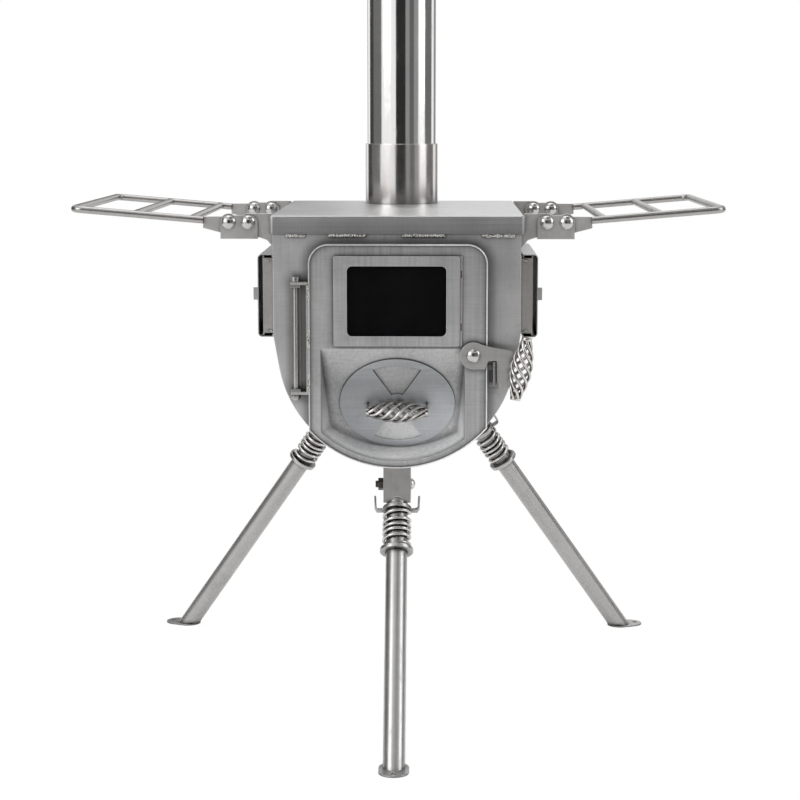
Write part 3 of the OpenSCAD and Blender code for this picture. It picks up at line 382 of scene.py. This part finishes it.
door_finish = steel(
    "door_brushed", 0.42, 0.38, UPRIGHT, streak=0.26, cloud=0.22, groove=0.07,
    metal=0.75, corner_shade=0.95, corner_shade_reach=9, worn=0.8, hollow=0.9,
)
plate_finish = steel(
    "plate_brushed", 0.51, 0.36, UPRIGHT, streak=0.15, cloud=0.24, groove=0.07,
    metal=0.85, corner_shade=0.85, corner_shade_reach=14, worn=0.4,
)
disc_finish = steel(
    "disc_brushed", 0.355, 0.38, LEVEL, streak=0.14, cloud=0.16, groove=0.04, warm=-0.03,
    metal=0.7, corner_shade=0.7, corner_shade_reach=5, worn=0.6, hollow=1.1,
)
lid_finish = steel(
    "lid_brushed", 0.50, 0.38, LEVEL, streak=0.20, cloud=0.16, groove=0.06,
    metal=0.85, corner_shade=0.5, corner_shade_reach=6, worn=0.15, fold=0.42,
)
shell_finish = steel(
    "shell_satin", 0.50, 0.36, DEEP, streak=0.10, cloud=0.12, groove=0.05,
    metal=0.9, corner_shade=0.7, worn=0.3,
)
pipe_finish = steel(
    "pipe_mirror", 0.80, 0.09, UPRIGHT, streak=0.05, cloud=0.07, groove=0.008, warm=0.012, corner_shade=0
)
collar_finish = steel(
    "collar_mirror", 0.76, 0.15, UPRIGHT, streak=0.06, cloud=0.12, groove=0.02, warm=0.025,
    corner_shade=0.75, corner_shade_reach=26,
)
tube_finish = steel(
    "tube_polished", 0.44, 0.33, EVEN, streak=0.08, cloud=0.14, groove=0.03, warm=0.01,
    corner_shade=0.8, corner_shade_reach=7,
)
# Darker tone than the front leg's finish: painted shade on the rear legs and lock rings; a little rougher too
rear_tube_finish = steel(
    "tube_satin", 0.39, 0.36, SOFT, streak=0.05, cloud=0.14, groove=0.0, warm=0.02,
    metal=0.9, corner_shade=0.8, corner_shade_reach=7,
)
spring_finish = steel(
    "spring_wire", 0.58, 0.26, EVEN, streak=0.06, cloud=0.12, groove=0.03, warm=0.03,
    corner_shade=0.7, corner_shade_reach=4,
)
rod_finish = steel(
    "rod_drawn", 0.34, 0.30, EVEN, streak=0.10, cloud=0.14, groove=0.04, warm=0.03,
    corner_shade=0.5, corner_shade_reach=3,
)
lever_finish = steel(
    "lever_brushed", 0.42, 0.34, LEVEL, streak=0.12, cloud=0.12, groove=0.05, warm=0.02,
    metal=0.85, corner_shade=0.7, worn=0.4,
)
wire_finish = steel(
    "wire_bright", 0.56, 0.20, EVEN, streak=0.08, cloud=0.24, groove=0.04, warm=0.04,
    corner_shade=1.0, corner_shade_reach=9,
)
rivet_finish = steel(
    "rivet_bright", 0.46, 0.20, EVEN, streak=0.06, cloud=0.14, groove=0.03, warm=0.01,
    corner_shade=0.7, corner_shade_reach=4,
)
tinted_finish = steel(
    "tinted_plate", 0.47, 0.38, UPRIGHT, streak=0.14, cloud=0.22, groove=0.06, warm=0.02,
    stain=0.25, metal=0.85, corner_shade=0.75, worn=0.5,
)
rack_finish = steel(
    "rack_plate", 0.58, 0.36, EVEN, streak=0.16, cloud=0.26, groove=0.06, warm=0.02,
    stain=0.2, metal=0.85, corner_shade=0.8, corner_shade_reach=5, worn=0.3,
)
socket_finish = steel(
    "socket_plate", 0.27, 0.34, UPRIGHT, streak=0.14, cloud=0.22, groove=0.06, warm=0.01,
    stain=0.15, metal=0.9, corner_shade=0.7, worn=1.1,
)
inner_finish = steel(
    "inner_sooted", 0.16, 0.48, DEEP, streak=0.2, cloud=0.5, groove=0.08, warm=0.06, stain=0.35
)
weld_finish = weld_metal()
glass_finish = dark_glass()
bolt_finish = bolt_metal()

# Every node's finish
finish_of = {}
for finish, members in (
    (door_finish, "door_panel window_frame"),
    (plate_finish, "front_plate rear_plate glass_retainer"),
    (disc_finish, "damper_disc"),
    (lid_finish, "lid_plate"),
    (shell_finish, "firebox_shell left_window_shutter right_window_shutter"),
    (pipe_finish, "flue_pipe"),
    (collar_finish, "flue_collar"),
    (tube_finish, "front_leg_tube front_foot_plate front_leg_collar left_leg_collar right_leg_collar"),
    (rear_tube_finish, "left_leg_tube right_leg_tube left_foot_plate right_foot_plate front_lock_ring"
                       " left_lock_ring right_lock_ring"),
    (rod_finish, "left_rack_frame right_rack_frame"),
    (lever_finish, "latch_lever"),
    (rack_finish, "left_rack_links right_rack_links left_rack_gussets right_rack_gussets left_rack_arms"
                  " right_rack_arms"),
    (wire_finish, "damper_handle_wires damper_handle_ends latch_handle_wires latch_handle_ends"),
    (spring_finish, "front_leg_spring left_leg_spring right_leg_spring"),
    (rivet_finish, "latch_rivet damper_bolt left_rack_rivets right_rack_rivets hinge_bolt"),
    (tinted_finish, "door_hinge_strap left_window_box right_window_box"),
    # The latch catch takes this dark finish as painted shade for its shadowed slots
    (socket_finish, "front_leg_socket left_leg_socket right_leg_socket latch_catch hinge_bracket"),
    (inner_finish, "flue_baffle fire_grate"),
    (glass_finish, "door_glass left_window_glass right_window_glass"),
    (bolt_finish, "leg_pivot_bolts"),
):
    for node in members.split():
        finish_of[node] = finish

for node, thing in nodes.items():
    thing.data.materials.clear()
    thing.data.materials.append(finish_of[node])


# ---- Finished copies of the parts, with broken edges ----------------------


# Corners sharper than this are edges of the sheet, and are broken
EDGE_ANGLE = math.radians(32)


def add_piece(mesh, name, body, material, replaced=()):
    """A finished piece that rides a body and takes the place of the replaced nodes."""
    mesh.materials.clear()
    mesh.materials.append(material)
    piece = bpy.data.objects.new(name, mesh)
    bpy.context.scene.collection.objects.link(piece)
    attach(piece, body)
    if replaced:
        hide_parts(*replaced)
    return piece


def merged(node):
    """The node's shape with its loose triangles joined and its flat faces made whole."""
    shape = bmesh.new()
    shape.from_mesh(nodes[node].data)
    bmesh.ops.remove_doubles(shape, verts=shape.verts, dist=2e-6)
    bmesh.ops.dissolve_degenerate(shape, edges=shape.edges, dist=1e-6)
    bmesh.ops.dissolve_limit(shape, angle_limit=math.radians(0.4), verts=shape.verts, edges=shape.edges)
    return shape


def break_edges(piece, width):
    """Rounds the piece's edges by width mm, as a live modifier."""
    edge = piece.modifiers.new("broken_edges", "BEVEL")
    edge.width = width * MM
    edge.segments = 2
    edge.limit_method = "ANGLE"
    return edge


def rounded(node, width, first=None):
    """A copy of the node with its edges broken by width mm; first(shape) may round some edges more."""
    shape = merged(node)
    if first:
        first(shape)
    mesh = bpy.data.meshes.new(node + "_finished")
    shape.to_mesh(mesh)
    shape.free()
    for face in mesh.polygons:
        face.use_smooth = True
    mesh.set_sharp_from_angle(angle=EDGE_ANGLE)
    piece = add_piece(mesh, node + "_finished", body_of[node], finish_of[node], [node])
    break_edges(piece, width).angle_limit = EDGE_ANGLE
    even = piece.modifiers.new("even_faces", "WEIGHTED_NORMAL")
    even.mode = "FACE_AREA"
    even.weight = 100
    even.keep_sharp = False


lid_low, lid_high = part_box("lid_plate")
lid_middle = (lid_low + lid_high) / 2
LID_BEND = 2.4
LID_RIM = 6.0


def near_lid_rim(point):
    from_side = lid_high.x - abs(point.x)
    from_end = lid_high.y - lid_middle.y - abs(point.y - lid_middle.y)
    return min(abs(from_side), abs(from_end)) < LID_RIM * MM


def bend_lid_edges(shape):
    """The lid's folded top edge is a bend, wider than a broken edge."""
    bend = [
        edge for edge in shape.edges
        if all(abs(corner.co.z - lid_high.z) < 1e-5 for corner in edge.verts)
        and near_lid_rim(edge.verts[0].co)
        and edge.is_manifold and edge.calc_face_angle(0) > 0.8
    ]
    bmesh.ops.bevel(
        shape, geom=bend, offset=LID_BEND * MM, segments=4, profile=0.5, affect="EDGES", clamp_overlap=True
    )


rounded("lid_plate", 0.4, bend_lid_edges)
for node, width in (
    ("door_panel", 0.65), ("window_frame", 0.7), ("front_plate", 0.7), ("rear_plate", 0.7),
    ("firebox_shell", 0.3), ("flue_collar", 0.5), ("flue_pipe", 0.3), ("damper_disc", 0.3),
    ("latch_lever", 0.5), ("latch_catch", 0.4), ("hinge_bracket", 0.6), ("door_hinge_strap", 0.6),
    ("hinge_bolt", 0.5), ("latch_rivet", 0.3), ("damper_bolt", 0.3), ("leg_pivot_bolts", 0.5),
    ("damper_handle_ends", 0.6), ("latch_handle_ends", 0.6),
):
    rounded(node, width)
for side in ("left", "right"):
    for part, width in (
        ("window_box", 0.4), ("window_shutter", 0.35), ("rack_gussets", 0.6), ("rack_links", 0.4),
        ("rack_rivets", 0.3), ("rack_arms", 0.6), ("rack_frame", 0.3),
    ):
        rounded(f"{side}_{part}", width)
for leg in ("front", "left", "right"):
    for part, width in (
        ("leg_socket", 0.6), ("leg_tube", 0.3), ("foot_plate", 0.5), ("leg_collar", 0.8),
        ("lock_ring", 0.7),
    ):
        rounded(f"{leg}_{part}", width)


# The flange's upright lines to the right of the frame, the ends of its two slots up from the frame's foot,
# and its sheet
FLANGE_LINES = (0.0, 1.0, 2.3, 3.0)
SLOT_ENDS = (17.9, 26.5, 78.6, 87.2)
FLANGE_SHEET = 1.6


def frame_flange():
    """The window frame's folded edge on the latch side, with the two slots of its retainer's tabs."""
    low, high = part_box("window_frame")
    across = [high.x + step * MM for step in FLANGE_LINES]
    up = [low.z] + [low.z + step * MM for step in SLOT_ENDS] + [high.z]
    slots = ((1, 1), (3, 1))
    shape = bmesh.new()
    rows = [[shape.verts.new((x, high.y - FLANGE_SHEET * MM, z)) for x in across] for z in up]
    for i in range(len(up) - 1):
        for j in range(len(across) - 1):
            if (i, j) not in slots:
                shape.faces.new((rows[i][j], rows[i][j + 1], rows[i + 1][j + 1], rows[i + 1][j]))
    grown = bmesh.ops.extrude_face_region(shape, geom=list(shape.faces))
    backs = [item for item in grown["geom"] if isinstance(item, bmesh.types.BMVert)]
    bmesh.ops.translate(shape, verts=backs, vec=(0, FLANGE_SHEET * MM, 0))
    bmesh.ops.recalc_face_normals(shape, faces=shape.faces)
    mesh = bpy.data.meshes.new("frame_flange")
    shape.to_mesh(mesh)
    shape.free()
    # The brighter rack finish here is a painted highlight along the frame's fold
    break_edges(add_piece(mesh, "frame_flange", "door", rack_finish), 0.25)


frame_flange()


# ---- Wire work and welds, from Geometry Nodes -----------------------------


def node_group(name, sizes):
    """A Geometry Nodes tree with a geometry input, named sizes and a geometry output."""
    group = bpy.data.node_groups.new(name, "GeometryNodeTree")
    group.interface.new_socket("Geometry", in_out="INPUT", socket_type="NodeSocketGeometry")
    for label, kind in sizes:
        group.interface.new_socket(label, in_out="INPUT", socket_type=kind)
    group.interface.new_socket("Geometry", in_out="OUTPUT", socket_type="NodeSocketGeometry")
    tree = Tree(group)
    entry = tree.node("NodeGroupInput")
    inputs = {socket.name: Val(tree, socket, entry.made) for socket in entry.made.outputs if socket.name}
    return group, tree, inputs


def grow(group, mesh, values, name):
    """Runs a tree on a mesh with these sizes and returns the result as a plain mesh."""
    carrier = bpy.data.objects.new(name + "_carrier", mesh)
    bpy.context.scene.collection.objects.link(carrier)
    modifier = carrier.modifiers.new("grow", "NODES")
    modifier.node_group = group
    for item in group.interface.items_tree:
        if item.item_type == "SOCKET" and item.in_out == "INPUT" and item.name in values:
            modifier[item.identifier] = values[item.name]
    seen = carrier.evaluated_get(bpy.context.evaluated_depsgraph_get())
    grown = bpy.data.meshes.new_from_object(seen)
    carrier.modifiers.clear()
    bpy.data.objects.remove(carrier)
    grown.name = name
    return grown


FLOAT = "NodeSocketFloat"
WHOLE = "NodeSocketInt"
MATERIAL = "NodeSocketMaterial"
WIRE_SIDES = 12
COIL_POINTS = 160
CAGE_POINTS = 48


def round_wire(tree, path, radius):
    """Round wire along the path."""
    ring = tree.node("GeometryNodeCurvePrimitiveCircle", None, {"Resolution": WIRE_SIDES, "Radius": radius})
    return tree.node(
        "GeometryNodeCurveToMesh", None, {"Curve": path, "Profile Curve": ring, "Fill Caps": True}
    )


def end_tree(tree, geometry, material):
    """Ends a tree: instances made real, smooth, and in their material."""
    whole = tree.node("GeometryNodeRealizeInstances", None, {0: geometry})
    smooth = tree.node("GeometryNodeSetShadeSmooth", None, {0: whole})
    painted = tree.node("GeometryNodeSetMaterial", None, {"Geometry": smooth, "Material": material})
    tree.node("NodeGroupOutput", None, {0: painted})


def wire_path(tree, count):
    """A straight curve of count points and its factor from 0 to 1."""
    line = tree.node("GeometryNodeCurvePrimitiveLine", None, {"End": (0, 0, 1)})
    path = tree.node("GeometryNodeResampleCurve", None, {"Curve": line, "Count": count})
    return path, tree.node("GeometryNodeSplineParameter")


def wound(tree, path, turn, radius, height):
    """The path wound round +Z: its points at this angle, radius and height."""
    point = tree.node(
        "ShaderNodeCombineXYZ", None, {0: turn.do("COSINE") * radius, 1: turn.do("SINE") * radius, 2: height}
    )
    return tree.node("GeometryNodeSetPosition", None, {"Geometry": path, "Position": point})


def coil_group():
    """A compression spring along +Z, whose turns lie closer together in the middle than at its ends."""
    group, tree, size = node_group("coil_spring", [
        ("Turns", FLOAT), ("Coil radius", FLOAT), ("Height", FLOAT), ("Wire radius", FLOAT),
        ("Material", MATERIAL),
    ])
    path, along = wire_path(tree, COIL_POINTS)
    turn = along * size["Turns"] * (2 * math.pi)
    from_middle = along * 2 - 1
    eased = from_middle - (from_middle * math.pi).do("SINE") * 0.10
    height = (eased * 0.5 + 0.5) * (size["Height"] - size["Wire radius"] * 2) + size["Wire radius"]
    path = wound(tree, path, turn, size["Coil radius"], height)
    end_tree(tree, round_wire(tree, path, size["Wire radius"]), size["Material"])
    return group


def cage_group():
    """Twisted wires round +Z that swell in the middle: a handle that stays cool."""
    group, tree, size = node_group("twisted_cage", [
        ("Wires", WHOLE), ("Length", FLOAT), ("Middle radius", FLOAT), ("End radius", FLOAT),
        ("Twist", FLOAT), ("Wire radius", FLOAT), ("Material", MATERIAL),
    ])
    path, along = wire_path(tree, CAGE_POINTS)
    swell = (along * math.pi).do("SINE")
    radius = swell * (size["Middle radius"] - size["End radius"]) + size["End radius"]
    path = wound(tree, path, along * size["Twist"], radius, (along - 0.5) * size["Length"])
    wire = round_wire(tree, path, size["Wire radius"])
    seats = tree.node("GeometryNodePoints", None, {"Count": size["Wires"], "Position": (0, 0, 0)})
    angle = tree.node("GeometryNodeInputIndex") * (2 * math.pi) / size["Wires"]
    spin = tree.node("ShaderNodeCombineXYZ", None, {2: angle})
    rotation = tree.node("FunctionNodeEulerToRotation", None, {0: spin})
    ring = tree.node(
        "GeometryNodeInstanceOnPoints", None, {"Points": seats, "Instance": wire, "Rotation": rotation}
    )
    end_tree(tree, ring, size["Material"])
    return group


def bead_group():
    """Overlapping lumps of weld metal along the edges of a path mesh."""
    group, tree, size = node_group("weld_beads", [
        ("Bead radius", FLOAT), ("Spacing", FLOAT), ("Seed", WHOLE), ("Material", MATERIAL),
    ])
    curve = tree.node("GeometryNodeMeshToCurve", None, {0: size["Geometry"]})
    path = tree.node(
        "GeometryNodeResampleCurve", {"mode": "LENGTH"}, {"Curve": curve, "Length": size["Spacing"]}
    )
    lump = tree.node("GeometryNodeMeshIcoSphere", None, {"Radius": size["Bead radius"], "Subdivisions": 2})
    scale = tree.node(
        "FunctionNodeRandomValue", {"data_type": "FLOAT_VECTOR"},
        {0: (0.70, 0.70, 0.70), 1: (1.15, 1.15, 1.15), "Seed": size["Seed"]},
    )
    turn = tree.node(
        "FunctionNodeRandomValue", {"data_type": "FLOAT_VECTOR"},
        {0: (0, 0, 0), 1: (3, 3, 3), "Seed": size["Seed"] + 7},
    )
    rotation = tree.node("FunctionNodeEulerToRotation", None, {0: turn})
    beads = tree.node(
        "GeometryNodeInstanceOnPoints", None,
        {"Points": path, "Instance": lump, "Rotation": rotation, "Scale": scale},
    )
    end_tree(tree, beads, size["Material"])
    return group


coils = coil_group()
cages = cage_group()
beads = bead_group()


def empty_mesh(name):
    """One point, for a tree that makes its own curve."""
    mesh = bpy.data.meshes.new(name)
    mesh.from_pydata([(0, 0, 0)], [], [])
    return mesh


def along_axis(start, axis):
    """A matrix that takes +Z to the axis and the origin to the start."""
    return Matrix.Translation(start) @ Vector(axis).to_track_quat("Z", "Y").to_matrix().to_4x4()


# Each spring's place along its leg from the pivot, and its size, in millimetres
SPRING_START = 35.6
SPRING_END = 83.0
SPRING_OUT = 17.2
SPRING_WIRE = 3.9
for leg in ("front", "left", "right"):
    pivot = Vector(joints[f"{leg}_leg_fold"]["pos_m"])
    axis = Vector(joints[f"{leg}_ring_slide"]["axis"])
    grown = grow(coils, empty_mesh("coil_seat"), {
        "Turns": 5.25,
        "Coil radius": (SPRING_OUT - SPRING_WIRE / 2) * MM,
        "Height": (SPRING_END - SPRING_START) * MM,
        "Wire radius": SPRING_WIRE / 2 * MM,
        "Material": spring_finish,
    }, f"{leg}_leg_coil")
    grown.transform(along_axis(pivot + axis * SPRING_START * MM, axis))
    coil = add_piece(
        grown, f"{leg}_leg_coil", f"{leg}_leg", spring_finish, [f"{leg}_leg_spring"]
    )
    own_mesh(coil)


def cage(node, name, axis, body):
    """A handle's twisted wires, round the middle of their node."""
    low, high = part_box(node)
    middle = (low + high) / 2
    grown = grow(cages, empty_mesh("cage_seat"), {
        "Wires": 6,
        "Length": 66 * MM,
        "Middle radius": 11.3 * MM,
        "End radius": 4.4 * MM,
        "Twist": math.radians(-330),
        "Wire radius": 1.95 * MM,
        "Material": wire_finish,
    }, name)
    grown.transform(along_axis(middle, axis))
    add_piece(grown, name, body, wire_finish, [node])


cage("damper_handle_wires", "damper_cage", (1, 0, 0), "damper")
LATCH_LEAN = math.radians(100.4)
cage("latch_handle_wires", "latch_cage", (math.cos(LATCH_LEAN), 0, -math.sin(LATCH_LEAN)), "latch")


def bead_runs(name, body, runs, radius=1.9, spacing=1.7, seed=3):
    """Weld beads of this radius and spacing in mm, along runs that are lists of stove points."""
    points = []
    edges = []
    for run in runs:
        start = len(points)
        points += [stove(*point) for point in run]
        edges += [(start + i, start + i + 1) for i in range(len(run) - 1)]
    path = bpy.data.meshes.new(name + "_path")
    path.from_pydata(points, edges, [])
    grown = grow(beads, path, {
        "Bead radius": radius * MM, "Spacing": spacing * MM, "Seed": seed, "Material": weld_finish,
    }, name)
    add_piece(grown, name, body, weld_finish)


# Under the lid's lip, in stove millimetres
LIP_Z = 578.6
bead_runs("lid_front_welds", "firebox", [
    [(a, -0.6, LIP_Z), (b, -0.6, LIP_Z)] for a, b in ((-126, -107), (-77, -37), (8, 54), (100, 134))
], radius=2.5, spacing=2.2)
bead_runs("lid_side_welds", "firebox", [
    [(side * 144.6, a, LIP_Z), (side * 144.6, b, LIP_Z)]
    for side in (-1, 1) for a, b in ((58, 92), (170, 215), (306, 340))
], seed=5)
bead_runs("lid_rear_welds", "firebox", [
    [(a, 398.4, LIP_Z), (b, 398.4, LIP_Z)] for a, b in ((-122, -84), (-20, 24), (80, 118))
], seed=9)
bead_runs("hinge_welds", "door", [
    [(-101.6, -13.4, a), (-101.6, -13.4, b)] for a, b in ((400, 418), (452, 472), (507, 524))
], spacing=1.9, seed=11)
bead_runs("gusset_welds", "firebox", [
    [(side * 147.3, y + turn * 2.1, 582), (side * 147.3, y + turn * 2.1, 599)]
    for side in (-1, 1) for y in (33, 367) for turn in (-1, 1)
], radius=1.5, spacing=1.4, seed=13)
bead_runs("window_box_welds", "firebox", [
    [(side * 144.5, 51.6, 505 + level * 44), (side * 152, 51.6, 505 + level * 41)]
    for side in (-1, 1) for level in (-1, 1)
], radius=1.4, spacing=1.5, seed=17)


# ---- Studio ---------------------------------------------------------------


def plane(name, corners, material):
    mesh = bpy.data.meshes.new(name)
    mesh.from_pydata(corners, [], [(0, 1, 2, 3)])
    mesh.materials.append(material)
    made = bpy.data.objects.new(name, mesh)
    bpy.context.scene.collection.objects.link(made)
    return made


def floor_material():
    """White to the camera apart from a faint shadow, and pale matt to everything else."""
    material, tree = new_material("studio_floor")
    seen = tree.node("ShaderNodeLightPath", out="Is Camera Ray")
    matt = tree.node("ShaderNodeBsdfDiffuse", None, {"Color": grey(0.86)})
    glow = tree.node("ShaderNodeEmission", None, {"Color": grey(1.0), "Strength": 1.0})
    shader = tree.node("ShaderNodeMixShader", None, {0: seen * 0.97, 1: matt, 2: glow})
    tree.node("ShaderNodeOutputMaterial", None, {"Surface": shader})
    return material


def flag(name, corners, level):
    """A grey sheet beside or over the stove that only polished metal sees."""
    material, tree = new_material("flag_cloth")
    glow = tree.node("ShaderNodeEmission", None, {"Color": grey(level), "Strength": 1.0})
    tree.node("ShaderNodeOutputMaterial", None, {"Surface": glow})
    cloth = plane(name, corners, material)
    cloth.visible_camera = False
    cloth.visible_diffuse = False
    cloth.visible_transmission = False
    cloth.visible_shadow = False


FLOOR_HALF = 14
plane("studio_floor", [
    (x * FLOOR_HALF, y * FLOOR_HALF, 0) for x, y in ((-1, -1), (1, -1), (1, 1), (-1, 1))
], floor_material())

# Upright flags round the stove: their left and right edges in degrees from the camera's side, and their grey
FLAG_DISTANCE = 3.0
FLAG_TOP = Vector((0, 0, 2.6))
for left, right, level in (
    (-20, 14, 0.03), (14, 28, 0.30), (28, 44, 0.14), (44, 60, 0.32), (88, 122, 0.17),
    (-112, -74, 0.17), (-136, -112, 0.06), (138, 160, 0.3), (-176, -158, 0.25),
):
    feet = [
        Vector((math.sin(math.radians(turn)), -math.cos(math.radians(turn)), 0)) * FLAG_DISTANCE
        for turn in (left, right)
    ]
    flag(f"flag_{left + 180}", [feet[0], feet[1], feet[1] + FLAG_TOP, feet[0] + FLAG_TOP], level)

# A flag overhead, which the sloping front leg shows as its dark band
flag("flag_overhead", [(0.05, -2.4, 3.0), (1.7, -2.4, 3.0), (1.7, 0.3, 3.0), (0.05, 0.3, 3.0)], 0.22)

world = bpy.data.worlds.new("studio")
bpy.context.scene.world = world
world.use_nodes = True
world.node_tree.nodes.clear()
sky = Tree(world.node_tree)
backdrop = sky.node("ShaderNodeBackground", None, {"Color": grey(1.0), "Strength": 1.0})
sky.node("ShaderNodeOutputWorld", None, {"Surface": backdrop})

STOVE_MIDDLE = Vector((0, 0, 0.5))


def soft_lamp(name, place, width, height, power):
    """A rectangular lamp of this size in metres and power in watts, turned to the stove's middle."""
    data = bpy.data.lights.new(name, "AREA")
    data.shape = "RECTANGLE"
    data.size = width
    data.size_y = height
    data.energy = power
    lamp = bpy.data.objects.new(name, data)
    bpy.context.scene.collection.objects.link(lamp)
    lamp.location = place
    lamp.rotation_euler = (STOVE_MIDDLE - Vector(place)).to_track_quat("-Z", "Y").to_euler()


soft_lamp("key_lamp", (-2.2, -1.7, 1.7), 1.4, 1.8, 26)
soft_lamp("fill_lamp", (2.4, -0.6, 1.5), 0.9, 1.6, 12)
soft_lamp("top_lamp", (0, 0.3, 2.9), 2.2, 2.2, 22)

# The camera stands where the photograph's does, and looks down a little
LOOKS_DOWN = 8.06
TURNS_LEFT = 1.05
camera_data = bpy.data.cameras.new("camera")
camera_data.sensor_width = 36
camera_data.lens = 92.25
camera = bpy.data.objects.new("camera", camera_data)
bpy.context.scene.collection.objects.link(camera)
camera.location = (0.0469, -2.50687, 0.7220)
camera.rotation_euler = (math.radians(90 - LOOKS_DOWN), 0, math.radians(TURNS_LEFT))
bpy.context.scene.camera = camera
bpy.context.scene.view_settings.view_transform = "Standard"
